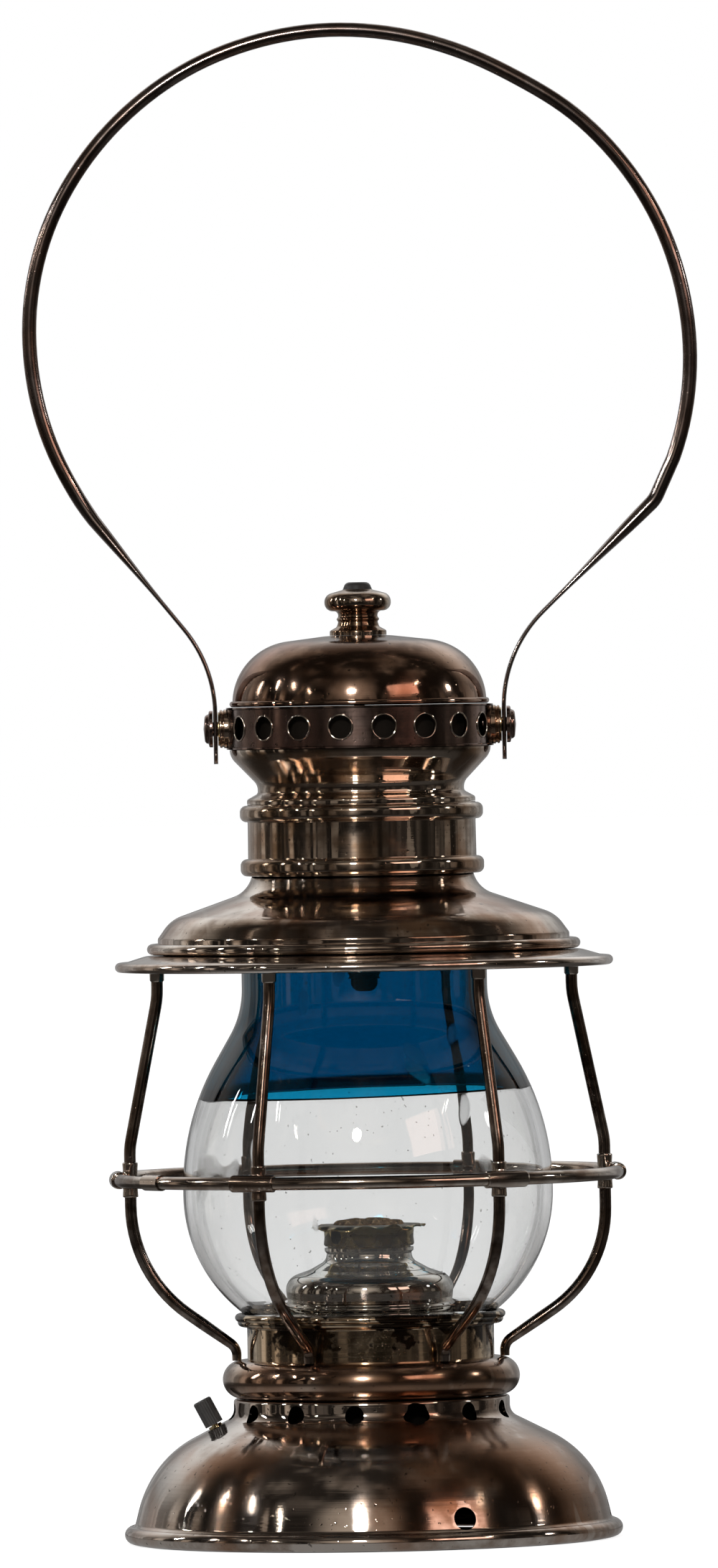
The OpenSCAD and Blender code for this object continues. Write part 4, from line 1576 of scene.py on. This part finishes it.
@dataclass
class Chimney:
    """Everything above the hood: collar, bowl, pierced band, dome, finial and ears."""

    radius: float = 31.8
    foot_z: float = 185.0
    top_z: float = 205.3
    bead: float = 2.1
    bead_h: float = 4.6
    band_z: float = 220.6
    band_r: float = 36.9
    band_h: float = 11.8
    band_lip: float = 0.3
    dome_z: float = 232.5
    dome_top: float = 251.9
    dome_round: float = 17.5
    vents_each_side: int = 8
    vent_pitch: float = 18.9
    vent_phase: float = 1.0
    vent_d: float = 6.5
    wall: float = 0.8
    shade_sheet_gap: float = 2.4
    finial_r: float = 9.25
    finial_h: float = 14.8
    stem_r: float = 5.5
    boss_h: float = 2.1
    ear_bore: float = 4.08
    rivet_tail: float = 33.7

    @property
    def band_mid(self) -> float:
        """The height of the band's middle."""
        return self.band_z + self.band_h / 2

    def vent_turns(self) -> list[float]:
        """The turn of each vent hole from the front."""
        first = -(self.vents_each_side - 1) / 2 * self.vent_pitch + self.vent_phase
        return [half + first + i * self.vent_pitch for half in (0, 180) for i in range(self.vents_each_side)]

    def collar(self) -> Mesh:
        """The plain band between two beads.

        Returns:
            Its mesh.
        """
        ease = 1.8
        high, low = self.top_z - 0.3, self.foot_z + 0.3
        corners = [
            (self.radius, self.top_z),
            (self.radius, high, 0.2),
            (self.radius + self.bead, high, ease),
            (self.radius + self.bead, high - self.bead_h, ease),
            (self.radius, high - self.bead_h, 0.2),
            (self.radius, low + 0.2 + self.bead_h, 0.2),
            (self.radius + self.bead, low + 0.2 + self.bead_h, ease),
            (self.radius + self.bead, low, ease),
            (self.radius + 0.1, low),
        ]
        bm = spun_sheet(corners, self.wall, step_deg=8, steps=176)
        dent(bm, amount=0.16, scale=55, seed=2.2)
        return bm

    def bowl(self) -> Mesh:
        """The waisted cup under the band.

        Returns:
            Its mesh.
        """
        waist = self.radius - 3.1
        corners = [
            (self.band_r - 0.5, self.band_z - 0.1),
            (self.band_r - 0.8, self.band_z - 2.2, 5),
            (waist, self.top_z + 5.4, 3.6),
            (waist, self.top_z + 3, 1.1),
            (self.radius, self.top_z + 1.3, 0.9),
            (self.radius, self.top_z + 0.1),
        ]
        bm = spun_sheet(corners, self.wall, step_deg=4, steps=176, lined=True)
        dent(bm, amount=0.12, scale=55, seed=6.2)
        return bm

    def band(self) -> Mesh:
        """The band before its holes, with a lip above and below.

        Returns:
            Its mesh.
        """
        low, high = self.band_z, self.band_z + self.band_h
        face, lip, back = self.band_r, self.band_r + self.band_lip, self.band_r - self.wall
        bm = bmesh.new()
        add_spun(bm, [
            (lip, high - 0.1), (lip, high - 0.5), (face, high - 0.7), (face, low + 0.7), (lip, low + 0.5),
            (lip, low + 0.1), (back, low), (back, high),
        ], 240)
        mark_inside(bm)
        return bm

    def vents(self) -> list[Mesh]:
        """The cutters of the vent holes.

        Returns:
            A closed mesh for each hole.
        """
        ways = [turn_out(turn) for turn in self.vent_turns()]
        radius = self.vent_d / 2
        return [cylinder_along(w, w * self.band_r + up(self.band_mid), radius, length=12) for w in ways]

    def rims(self) -> Mesh:
        """The raised rims round the vent holes, bent to the band.

        Returns:
            Their mesh.
        """
        bm = bmesh.new()
        for turn in self.vent_turns():
            out = turn_out(turn)
            rim = bmesh.new()
            add_spun(rim, circle_section(self.vent_d / 2 + 0.16, 0, 0.27, count=10), steps=40)
            rim.transform(turned_to(out, up(self.band_mid)))
            for v in rim.verts:
                flat = v.co - up(v.co.z)
                aside = (flat - out * flat.dot(out)).length
                v.co += out * (math.sqrt((self.band_r * MM) ** 2 - aside**2) + 0.02 * MM)
            add_copy(bm, rim)
        return bm

    def shade_sheet(self) -> Mesh:
        """A black sheet of painted shade behind the vent holes, so that they look dark inside.

        Returns:
            Its mesh.
        """
        radius = self.band_r - self.wall - self.shade_sheet_gap
        corners = [(radius, self.band_z + self.band_h - 0.6), (radius, self.band_z + 0.6)]
        return spun_sheet(corners, 0.4, step_deg=5, steps=120)

    def dome(self) -> Mesh:
        """The dome cap with the bead at its foot.

        Returns:
            Its mesh.
        """
        radius = self.band_r - 1.5
        corners = [
            (0.0, self.dome_top),
            (8.5, self.dome_top, 30),
            (radius, self.dome_top - 3.2, self.dome_round),
            (radius, self.dome_z),
        ]
        bm = spun_sheet(corners, self.wall, step_deg=3, steps=176, lined=True)
        dent(bm, amount=0.18, scale=45, seed=9.3)
        add_spun(bm, circle_section(radius, self.dome_z + 0.8, 0.8, count=16), steps=176)
        return bm

    def finial(self) -> Mesh:
        """The turned knob on top.

        Returns:
            Its mesh.
        """
        foot, stem = self.dome_top + 0.05, self.stem_r
        corners = [
            (0.0, foot + self.finial_h),
            (3.3, foot + self.finial_h, 1.6),
            (4.1, foot + 12.7, 0.5),
            (self.finial_r, foot + 11.3, 2.5),
            (self.finial_r, foot + 6.6, 2.3),
            (stem, foot + 6.9, 1.2),
            (stem, foot + 5.2, 0.5),
            (stem + 0.5, foot + 4.5, 0.4),
            (stem, foot + 3.8, 0.5),
            (stem + 0.4, foot + 2.4, 1),
            (7.9, foot + 1.3, 0.6),
            (7.9, foot),
            (0.0, foot),
        ]
        bm = bmesh.new()
        add_spun(bm, rounded(corners, step_deg=6), steps=96, closed=False)
        mark_where(bm, lambda z: z > foot + 12.75)
        return bm

    def add_ear(self, side: int, bosses: Mesh, washers: Mesh, rivets: Mesh) -> None:
        """Adds the boss, the washer and the rivet of one ear.

        Args:
            side: 1 for the right ear, -1 for the left.
            bosses: The mesh of the bosses.
            washers: The mesh of the washers.
            rivets: The mesh of the rivets.
        """
        where = turned_to(Vector((side, 0, 0)), up(self.band_mid))
        bore, foot, face = self.ear_bore / 2, self.band_r - 0.5, self.band_r + self.boss_h
        add_turned(bosses, rounded([
            (bore, foot), (5.4, foot), (5.4, face - 1.2, 0.3), (4.9, face - 0.9, 0.2),
            (5.3, face - 0.6, 0.2), (5.3, face, 0.3), (bore, face),
        ], step_deg=15), where, steps=56)
        low, high = face + 0.02, face + 0.48
        add_turned(washers, rounded([
            (bore, low), (4.7, low, 0.1), (4.7, high, 0.1), (bore, high),
        ], step_deg=30), where, steps=56)
        tail, head = self.rivet_tail, face + 1.95
        add_turned(rivets, rounded([
            (0.0, tail), (3.2, tail, 0.5), (3.2, tail + 1.25), (2.0, tail + 1.25), (2.0, head), (5.1, head),
            (5.1, head + 1, 0.4), (4.1, head + 1.2, 0.3), (3.9, head + 2.2, 1), (0.0, head + 2.6),
        ], step_deg=12), where, steps=56, closed=False)

    def build(self, shop: Shop) -> None:
        """Builds the chimney.

        Args:
            shop: Where pieces are finished.
        """
        hood, plate, copper = Body.HOOD, Slot.PLATE, Slot.COPPER
        shop.finish("beaded_collar", self.collar(), CHIMNEY_PLATE, hood, ["chimney_collar"])
        shop.finish("waisted_bowl", self.bowl(), CHIMNEY_PLATE, hood, ["chimney_bowl"], inside=SOOT_AND_SHADE)
        shop.finish(
            "pierced_band", self.band(), BAND_COPPER, hood, ["vent_band"],
            holes=self.vents(), inside=SOOT_AND_SHADE,
        )
        shop.finish("vent_rims", self.rims(), BRIGHT_SILVER, hood)
        shop.finish("dome", self.dome(), DOME_COPPER, hood, ["dome_cap"], inside=SOOT_AND_SHADE)
        shop.finish("finial_knob", self.finial(), CHIMNEY_PLATE, hood, ["finial"], inside=PHENOLIC)
        shop.paint_nodes(SOOT_AND_SHADE, "draught_tube")
        # A black sheet of painted shade behind the vent holes.
        shop.finish("vent_shade_sheet", self.shade_sheet(), SOOT_AND_SHADE, hood)
        bosses, washers, rivets = bmesh.new(), bmesh.new(), bmesh.new()
        for side in (-1, 1):
            self.add_ear(side, bosses, washers, rivets)
        shop.finish("ear_boss_pair", bosses, CHIMNEY_PLATE, hood, ["ear_bosses"])
        shop.finish("ear_washer_pair", washers, OLD_BRASS, hood, ["ear_washers"])
        shop.finish("ear_rivet_pair", rivets, BAND_COPPER, hood, ["ear_rivets"])


@dataclass
class Bail:
    """The tall handle: a round loop whose arms are beaten flat towards the ears."""

    loop_r: float = 92.0
    rise: float = 101.8
    lean: float = 1.4
    ear_z: float = 226.5
    rod_d: float = 4.0
    strap_t: float = 1.2
    strap_w: float = 9.6
    pivot_x: float = 40.2
    eye_d: float = 4.16
    kink_turn: float = -26.0
    loop_from: int = -18
    loop_to: int = 210
    flat_to: float = 38.0
    round_from: float = 78.0
    below: float = 9.8
    head_r: float = 5.1
    end_turns: tuple[float, ...] = (8, 22, 36, 50, 64, 78, 90)
    bends: tuple[float, ...] = (
        -1.7, -0.7, 0.1, 0.4, 0.4, 0.35, 0.0, -0.55, -1.5, -1.05, -0.15, 0.85, 1.65, 2.3, 2.5, 2.45, 2.0,
        0.85, -0.9, -2.85, -5.0, -6.6,
    )
    bends_from: float = -36.0
    bends_step: float = 12.0

    def stand_off(self, turn: float) -> float:
        """How far the hand-bent loop stands off from a true circle.

        Args:
            turn: The turn in degrees from the loop's right side.

        Returns:
            The distance, on a smooth curve through the bends.
        """
        last = len(self.bends) - 1
        place = max(0.0, min(last - 0.001, (turn - self.bends_from) / self.bends_step))
        i = int(place)
        f = place - i
        a, b, c, d = (self.bends[max(0, min(last, k))] for k in (i - 1, i, i + 1, i + 2))
        return b + 0.5 * f * (c - a + f * (2 * a - 5 * b + 4 * c - d + f * (3 * (b - c) + d - a)))

    def loop_point(self, turn: float) -> Vector:
        """A point of the loop's centre line.

        Args:
            turn: The turn in degrees from the loop's right side.

        Returns:
            The point.
        """
        reach = self.loop_r + self.stand_off(turn)
        angle = math.radians(turn)
        x, z = self.lean + reach * math.cos(angle), self.ear_z + self.rise + reach * math.sin(angle)
        return Vector((x, z))

    def knee(self, side: int, rise: float, most: float, after: Vector) -> Corner:
        """The bend low in an arm, which leaves the arm straight beside its rivet's head.

        Args:
            side: 1 for the right arm, -1 for the left.
            rise: The height of the bend above the ear.
            most: The greatest radius of the bend.
            after: Where the arm goes next.

        Returns:
            The corner.
        """
        corner = Vector((side * self.pivot_x, self.ear_z + rise))
        half = Vector((0, -1)).angle(after - corner) / 2
        return (corner.x, corner.y, min(most, (rise - self.head_r + 0.7) * math.tan(half)))

    def path(self) -> list[Vector]:
        """The bail's centre line from the right ear's strap end to the left one's.

        Returns:
            The line's points.
        """
        kink, last = self.loop_point(self.kink_turn), self.loop_point(self.loop_to)
        foot = self.ear_z - self.below
        corners = [
            (self.pivot_x, foot),
            self.knee(1, 20.2, 42, kink),
            (kink.x, kink.y, 9),
            *(tuple(self.loop_point(turn)) for turn in range(self.loop_from, self.loop_to + 1, 2)),
            self.knee(-1, 17.6, 44, last),
            (-self.pivot_x, foot),
        ]
        points = subdivided(rounded(corners, step_deg=3), longest=5)
        near = [self.strap_w / 2 * (1 - math.cos(math.radians(a))) for a in self.end_turns]
        starts = [points[0] + Vector((0, d)) for d in near]
        ends = [points[-1] + Vector((0, d)) for d in reversed(near)]
        inner = [p for p in points[1:-1] if p.y > points[0].y + self.strap_w / 2 + 0.5]
        return starts + inner + ends

    def build(self, shop: Shop) -> None:
        """Builds the bail.

        Args:
            shop: Where pieces are finished.
        """
        path = self.path()
        start = path[0].y - (self.ear_z - self.below)
        whole = path_length(path) + 2 * start

        def size(done: float) -> Triple:
            """The bail's section: a strap at both ends, round between.

            Args:
                done: The distance travelled from the first point.

            Returns:
                The thickness, the width and the squareness.
            """
            end = min(done + start, whole - done - start)
            share = min(1.0, max(0.0, (end - self.below - self.flat_to) / (self.round_from - self.flat_to)))
            share = share * share * (3 - 2 * share)
            thick = self.strap_t + (self.rod_d - self.strap_t) * share
            wide = self.strap_w + (self.rod_d - self.strap_w) * share
            half = self.strap_w / 2
            if end < half:
                wide *= math.sqrt(max(0.02, 1 - ((half - end) / half) ** 2))
            return thick, wide, 1 - share

        bm = bmesh.new()
        add_swept(bm, path, size, turn_deg=90.0, sides=24)
        across = Vector((1, 0, 0))
        ears = [Vector((side * self.pivot_x, 0, self.ear_z)) for side in (-1, 1)]
        eyes = [cylinder_along(across, ear, self.eye_d / 2, length=4) for ear in ears]
        body, slot = Body.BAIL, Slot.COPPER
        shop.finish("bail_handle", bm, BAIL_PLATE, body, ["bail"], sharp_deg=50, holes=eyes)


@dataclass
class Fount:
    """The drop-in fount with its burner's remains."""

    neck_z: float = 81.3
    dome_r: float = 23.6
    can_r: float = 30.5
    lift: float = 14.0
    can_top: float = 57.5
    wall: float = 0.8
    lugs: int = 3
    lug_z: float = 46.7
    lug_d: float = 2.2
    burner_r: float = 12.6
    burner_h: float = 5.8
    side_hole_turn: float = -48.0
    side_hole_d: float = 4.2
    flange: float = 3.4
    flange_t: float = 0.5
    flange_steps: int = 8
    torn: float = 2.4
    curl: float = 1.5

    @property
    def neck_r(self) -> float:
        """The radius of the neck under the burner."""
        return self.burner_r - 0.2

    @property
    def low(self) -> float:
        """The height of the burner's foot."""
        return self.neck_z + 0.1

    def body(self) -> Mesh:
        """The can with its domed top and its locking lugs.

        Returns:
            Its mesh.
        """
        neck, drum = self.neck_r, self.dome_r - 0.5
        corners = [
            (neck, self.neck_z),
            (neck, self.neck_z - 0.9, 0.3),
            (neck - 0.6, self.neck_z - 1.5, 0.4),
            (neck - 0.2, self.neck_z - 3.6, 3),
            (neck + 4.4, self.neck_z - 6.2, 8),
            (self.dome_r + 0.1, self.neck_z - 8.6, 4.6),
            (self.dome_r - 0.6, self.neck_z - 15.2, 0.5),
            (self.dome_r + 0.3, self.neck_z - 15.8, 0.4),
            (drum, self.neck_z - 16.6, 0.6),
            (drum, self.can_top, 0.6),
            (self.can_r, self.can_top, 3),
            (self.can_r, self.lift, 3),
            (0.0, self.lift),
        ]
        bm = spun_sheet(corners, self.wall, step_deg=4, steps=144)
        # Painted shade: the faces below the can's top take the near-black inner finish, as they sit out of
        # the light inside the holder.
        mark_where(bm, lambda z: z < self.can_top - 0.4)
        for i in range(self.lugs):
            out = turn_out(90 + i * 360 / self.lugs)
            middle = out * (self.can_r + 1.6) + up(self.lug_z)
            add_copy(bm, cylinder_along(out, middle, self.lug_d / 2, length=4, sides=24))
        return bm

    def burner(self) -> Mesh:
        """The burner's collar over its spigot.

        Returns:
            Its mesh.
        """
        low, top = self.low, self.low + self.burner_h
        spigot = self.neck_r - self.wall - 0.04
        section = [
            (spigot - self.wall, low - 4), (spigot, low - 4), (spigot, low + 0.4),
            (self.burner_r - 0.3, low + 0.4, 0.1), (self.burner_r, low + 0.9, 0.3),
            (self.burner_r - 0.25, low + 3, 4), (self.burner_r, top), (spigot - self.wall, top),
        ]
        bm = bmesh.new()
        add_spun(bm, rounded(section, step_deg=12), steps=112)
        return bm

    def torn_flange(self) -> Mesh:
        """The thin torn flange on the burner.

        Returns:
            Its mesh.
        """
        z = self.low + self.burner_h + 0.05
        inner, outer = self.burner_r - 2.6, self.burner_r + self.flange
        steps = self.flange_steps
        top = [Vector((inner + (outer - inner) * k / steps, z + self.flange_t)) for k in range(steps + 1)]
        under = [Vector((p.x, z + 0.02)) for p in reversed(top)]
        bm = bmesh.new()
        add_spun(bm, top + under, steps=150)
        merge(bm)
        for v in bm.verts:
            flat = Vector((v.co.x, v.co.y, 0.0))
            reach = max(0.0, (flat.length / MM - self.burner_r) / self.flange)
            angle = math.atan2(v.co.y, v.co.x)
            torn = noise.noise(Vector((math.cos(angle), math.sin(angle), 0.4)) * 5.5)
            curl = noise.noise(Vector((math.cos(angle), math.sin(angle), 2.7)) * 3.1)
            v.co -= flat.normalized() * max(0.0, torn) * self.torn * reach * MM
            v.co.z += (curl * self.curl - 0.5) * reach**2 * MM
        return bm

    def wick(self) -> Mesh:
        """The charred stub of the wick in its plug.

        Returns:
            Its mesh.
        """
        low, top = self.low, self.low + 8.2
        plug, stub = self.burner_r - 0.2 - 2 * self.wall - 0.08, self.burner_r - 2.9
        corners = [
            (0.0, top - 0.3),
            (4.0, top, 3),
            (stub, top - 0.8, 0.8),
            (stub, low + 5.8, 0.2),
            (plug, low + 5.6),
            (plug, low - 1),
            (0.0, low - 1),
        ]
        bm = bmesh.new()
        add_spun(bm, subdivided(rounded(corners, step_deg=10), longest=0.7), steps=96, closed=False)
        merge(bm)
        for v in bm.verts:
            above = max(0.0, min(1.0, (v.co.z / MM - low - 6.0) / 1.6))
            fine = noise.fractal(v.co * 620, 0.7, 2.0, 4)
            broad = noise.noise(v.co * 210 + Vector((4.2, 0, 0)))
            v.co.z += (min(0.3, broad * 2.6 + fine * 1.1) - 0.35) * above * MM
        # Painted shade: the plug below the char takes the near-black inner finish, so that it looks dark
        # through the collar's side hole.
        for f in bm.faces:
            f.material_index = int(f.calc_center_median().z < (low + 5.9) * MM)
        return bm

    def build(self, shop: Shop) -> None:
        """Builds the fount.

        Args:
            shop: Where pieces are finished.
        """
        fount, silver, brass = Body.FOUNT, Slot.SILVER, Slot.BRASS
        shop.finish("drop_in_fount", self.body(), FOUNT_SILVER, fount, ["fount_body"], inside=SOOT_AND_SHADE)
        out = turn_out(self.side_hole_turn)
        middle = out * self.burner_r + up(self.low + 3.3)
        holes = [cylinder_along(out, middle, self.side_hole_d / 2, length=8, sides=32)]
        shop.finish("burner_ring", self.burner(), BURNER_BRASS, fount, ["burner_collar"], holes=holes)
        flange, wick = self.torn_flange(), self.wick()
        shop.finish("torn_flange", flange, BURNER_BRASS, fount, ["burner_flange"], sharp_deg=60)
        shop.finish("charred_stub", wick, CHAR, fount, ["wick_stub"], sharp_deg=80, inside=SOOT_AND_SHADE)


@dataclass
class Switch:
    """The rotary switch on the base's left shoulder, with its fluted knob."""

    radius: float = 43.7
    height: float = 32.301
    slope: float = 27.429
    knob_d: float = 5.3
    knob_h: float = 7.5
    lift: float = 0.6
    flutes: int = 18
    flute_depth: float = 0.06
    crown: float = 0.35
    bevel: float = 0.3

    @staticmethod
    def axis() -> Vector:
        """The switch's axis, square to the shoulder."""
        slope = math.radians(Switch.slope)
        return Vector((-math.sin(slope), 0.0, math.cos(slope)))

    @staticmethod
    def foot() -> Vector:
        """Where the switch's axis meets the shoulder, in millimetres."""
        return Vector((-Switch.radius, 0.0, Switch.height))

    def knob(self) -> Mesh:
        """The fluted knob.

        Returns:
            Its mesh.
        """
        bm = bmesh.new()
        radius = self.knob_d / 2 * MM
        ring = bmesh.ops.create_circle(bm, cap_ends=True, radius=radius, segments=self.flutes * 4)["verts"]
        for v in ring:
            angle = math.atan2(v.co.y, v.co.x)
            v.co *= 1 - self.flute_depth * (0.5 + 0.5 * math.cos(self.flutes * angle)) ** 2
        grown = bmesh.ops.extrude_face_region(bm, geom=[next(f for f in bm.faces)])["geom"]
        moved = [g for g in grown if isinstance(g, bmesh.types.BMVert)]
        bmesh.ops.translate(bm, vec=up((self.knob_h - self.crown) * MM), verts=moved)
        crown = [g for g in grown if isinstance(g, bmesh.types.BMFace)]
        bmesh.ops.inset_region(bm, faces=crown, thickness=self.bevel * MM, depth=self.crown * MM)
        merge(bm)
        bm.transform(turned_to(self.axis(), self.foot() + self.axis() * self.lift))
        return bm

    def build(self, shop: Shop) -> None:
        """Builds the knob and paints the rest.

        Args:
            shop: Where pieces are finished.
        """
        body, slot = Body.SWITCH, Slot.KNOB
        shop.finish("fluted_knob", self.knob(), PHENOLIC, body, ["switch_knob"], sharp_deg=30)
        shop.paint_nodes(OLD_BRASS, "switch_spindle", "switch_bush", "switch_nut")
        shop.paint_nodes(CASE_PAPER, "switch_body")


# The studio


@dataclass(frozen=True)
class Lamp:
    """A soft lamp that faces the lantern. Places and sizes are in metres, power is in watts."""

    name: str
    place: Triple
    size: tuple[float, float]
    power: float
    tint: Triple
    lean_deg: float = 0.0
    shape: str = "ELLIPSE"

    def add(self) -> None:
        """Adds the lamp to the scene."""
        data = bpy.data.lights.new(self.name, "AREA")
        data.shape = self.shape
        data.size, data.size_y = self.size
        data.energy = self.power
        data.color = self.tint
        aim = (Vector((0, 0, 0.2)) - Vector(self.place)).to_track_quat("-Z", "Y")
        stand(bpy.data.objects.new(self.name, data), self.place, aim, self.lean_deg)


def stand(thing: bpy.types.Object, place: Sequence[float], aim: Quaternion, lean_deg: float) -> None:
    """Stands a lamp or camera in the scene.

    Args:
        thing: The object.
        place: Where it stands, in metres.
        aim: Its level direction, as a rotation.
        lean_deg: How far it leans over in its own plane.
    """
    bpy.context.scene.collection.objects.link(thing)
    thing.location = place
    thing.rotation_mode = "QUATERNION"
    thing.rotation_quaternion = aim @ Matrix.Rotation(math.radians(lean_deg), 3, "Z").to_quaternion()


WHITE: Triple = (1.0, 1.0, 1.0)
WARM: Triple = (1.0, 0.93, 0.84)
COOL: Triple = (1.0, 0.98, 0.97)
ROSE: Triple = (1.0, 0.64, 0.52)
LAMPS = (
    Lamp("key", (-0.28, -2.25, 1.12), (0.24, 0.26), 22, COOL),
    Lamp("left_tube_1", (-1.55, -1.35, 1.0), (0.03, 0.26), 1.1, WARM, 28),
    Lamp("left_tube_2", (-1.85, -0.75, 1.25), (0.035, 0.36), 2.4, COOL, 24),
    Lamp("left_tube_3", (-1.9, -0.1, 1.1), (0.04, 0.44), 2.8, COOL, 14),
    Lamp("left_tube_4", (-1.8, 0.6, 0.8), (0.05, 0.5), 2.4, COOL, 5),
    Lamp("right_window", (1.35, -1.45, 0.95), (1.05, 0.66), 4.4, ROSE, 4, "RECTANGLE"),
    Lamp("right_tube", (1.75, -1.0, 1.35), (0.03, 0.3), 0.9, WARM, -50),
    Lamp("right_spot", (2.0, 0.1, 0.85), (0.14, 0.2), 2.4, COOL, -12),
)


@dataclass
class Studio:
    """The camera, the lamps, the pale floor and the white surroundings, in metres."""

    distance: float = 4.4
    camera_z: float = 0.229
    look_z: float = 0.2105
    look_x: float = -0.0005
    roll_deg: float = 1.018
    span: float = 0.437
    sensor: float = 36.0
    key_way: Triple = (-0.114, -0.92, 0.376)
    mirrored_warmth: Triple = (1.0, 0.84, 0.7)
    plain_light: float = 0.55
    floor_size: float = 30.0
    floor_drop: float = 0.0002
    floor_glow: float = 0.84
    floor_matt: Triple = (0.42, 0.42, 0.42)
    floor_mirrored: Triple = (0.05, 0.045, 0.04)
    # Where the floor's glow stops under the foot: the rim of a painted shadow.
    painted_shadow_edge: tuple[float, float] = (0.0655, 0.0665)

    def camera(self) -> None:
        """Sets the camera at the photograph's angle."""
        data = bpy.data.cameras.new("Camera")
        data.sensor_width = self.sensor
        data.lens = self.sensor * self.distance / self.span
        data.clip_start, data.clip_end = 0.1, 60
        eye = bpy.data.objects.new("Camera", data)
        place = Vector((self.look_x, -self.distance, self.camera_z))
        aim = (Vector((self.look_x, 0, self.look_z)) - place).to_track_quat("-Z", "Y")
        stand(eye, place, aim, -self.roll_deg)
        bpy.context.scene.camera = eye

    def back_wall(self, g: Graph, around: Value) -> tuple[Value, Value]:
        """The pale far side of the mirrored room, with clutter at eye level and small far lamps.

        Args:
            g: The world's graph.
            around: The direction that is looked in.

        Returns:
            How far behind the lantern the direction points, and the light from there.
        """
        y, z = g.axes(around)[1:]
        behind = y.ramp(0.25, 0.85)
        tall = g.mapped(around, (1.0, 1.0, 0.22))
        inputs = {"Vector": tall, "Scale": 9.0, "Smoothness": 0.3, "Randomness": 1.0}
        cells = g.add("TexVoronoi", inputs, distance="CHEBYCHEV", feature="SMOOTH_F1")
        pick = g.add("SeparateColor", {0: cells["Color"]})
        clutter = pick[0].ramp(0.62, 0.9) * (z.ramp(0.42, 0.05) * z.ramp(-0.22, 0.02))
        far_lamps = pick[2].ramp(0.965, 0.99) * (z.ramp(0.0, 0.1) * 0.9)
        wall = behind * (z.ramp(0.15, 0.5) * 0.7 + 0.3) * 0.88
        return behind, wall + (clutter * 0.15 + 0.012) + far_lamps * (1.0 - behind)

    def side_bars(self, g: Graph, around: Value) -> Value:
        """Upright bars low at both sides of the mirrored room, strong at the left.

        Args:
            g: The world's graph.
            around: The direction that is looked in.

        Returns:
            The light from them.
        """
        x, y, z = g.axes(around)
        azimuth = g.math("ARCTAN2", x, y * -1.0)
        bars = g.noise(g.add("CombineXYZ", {"X": azimuth * 5.5})[0], 1.0, 2)
        left = bars.ramp(0.5, 0.58) * 0.42 * (azimuth.ramp(-0.7, -1.1) * azimuth.ramp(-2.6, -2.2))
        right = bars.ramp(0.4, 0.7) * 0.05 * (azimuth.ramp(0.3, 0.6) * azimuth.ramp(2.0, 1.6))
        return g.math("ABSOLUTE", z).ramp(0.42, 0.16) * (left + right)

    def overhead(self, g: Graph, around: Value) -> Value:
        """Soft patches above the mirrored room, and the glow round the key lamp.

        Args:
            g: The world's graph.
            around: The direction that is looked in.

        Returns:
            The light from them.
        """
        patches = g.noise(around, 2.6, 3).ramp(0.44, 0.68) * 0.22 + 0.012
        toward = g.add("VectorMath", {0: around, 1: self.key_way}, operation="DOT_PRODUCT")["Value"]
        glow = g.math("POWER", toward.ramp(0.88, 1.0), 2.0)
        return g.axes(around)[2].ramp(0.35, 0.95) * patches + glow * 0.48

    def world(self) -> None:
        """Makes the surroundings white to plain sight, and a dim room in reflections."""
        world = bpy.data.worlds.new("World")
        bpy.context.scene.world = world
        world.use_nodes = True
        g = Graph(world.node_tree)
        world.node_tree.nodes.clear()
        shown, mirrored = g.rays()
        around = g.add("TexCoord")["Generated"]
        behind, wall = self.back_wall(g, around)
        room = wall + self.overhead(g, around) + self.side_bars(g, around)
        plain = (1.0 - (shown + mirrored).held()).held()
        level = shown + mirrored * room + plain * self.plain_light
        tint = g.mix(mirrored * (1.0 - behind), WHITE, self.mirrored_warmth)
        back = g.add("Background", {"Color": tint, "Strength": level})[0]
        g.add("OutputWorld", {"Surface": back})

    def floor(self) -> None:
        """Lays the pale floor, which keeps the lantern's shadow, has a painted shadow in the circle under
        the foot, and ends early in reflections.
        """
        bm = bmesh.new()
        bmesh.ops.create_grid(bm, x_segments=1, y_segments=1, size=self.floor_size)
        bm.transform(Matrix.Translation((0, 0, -self.floor_drop)))
        floor = Shop.to_object("floor", bm)
        material = bpy.data.materials.new("floor_white")
        material.use_nodes = True
        g = Graph(material.node_tree)
        material.node_tree.nodes.clear()
        shown, mirrored = g.rays()
        place = g.add("TexCoord")["Object"]
        away = g.add("VectorMath", {0: place}, operation="LENGTH")["Value"]
        # Painted shadow: the floor's glow stops inside the foot's circle, so that the floor stays dark under
        # the base and through its draught holes.
        outside_painted_shadow = away.ramp(*self.painted_shadow_edge)
        beyond = (g.axes(place)[1].ramp(0.3, 1.6) + away.ramp(0.24, 0.08) * 0.3).held()
        seen = (shown + mirrored * (beyond * 0.93 + 0.03).held()).held()
        glow = g.add("Emission", {"Color": WHITE, "Strength": seen * outside_painted_shadow * self.floor_glow})[0]
        matt = g.add("BsdfDiffuse", {"Color": g.mix(mirrored, self.floor_matt, self.floor_mirrored)})[0]
        both = g.add("AddShader", {0: matt, 1: glow})[0]
        gone = g.add("BsdfTransparent")[0]
        ended = g.add("MixShader", {0: mirrored * away.ramp(0.35, 0.8), 1: both, 2: gone})[0]
        g.add("OutputMaterial", {"Surface": ended})
        floor.data.materials.append(material)

    def build(self) -> None:
        """Builds the studio."""
        bpy.context.scene.view_settings.view_transform = "Standard"
        self.camera()
        for lamp in LAMPS:
            lamp.add()
        self.world()
        self.floor()


def main() -> None:
    """Dresses the lantern, piece by piece."""
    logging.basicConfig(level=logging.INFO, format="%(name)s %(message)s")
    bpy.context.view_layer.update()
    Studio().build()
    shop = Shop(Finishes())
    for part in (Base(), Globe(), Guard(), Hood(), Chimney(), Bail(), Fount(), Switch()):
        LOG.info("building %s", type(part).__name__)
        part.build(shop)


if __name__ == "__main__":
    main()
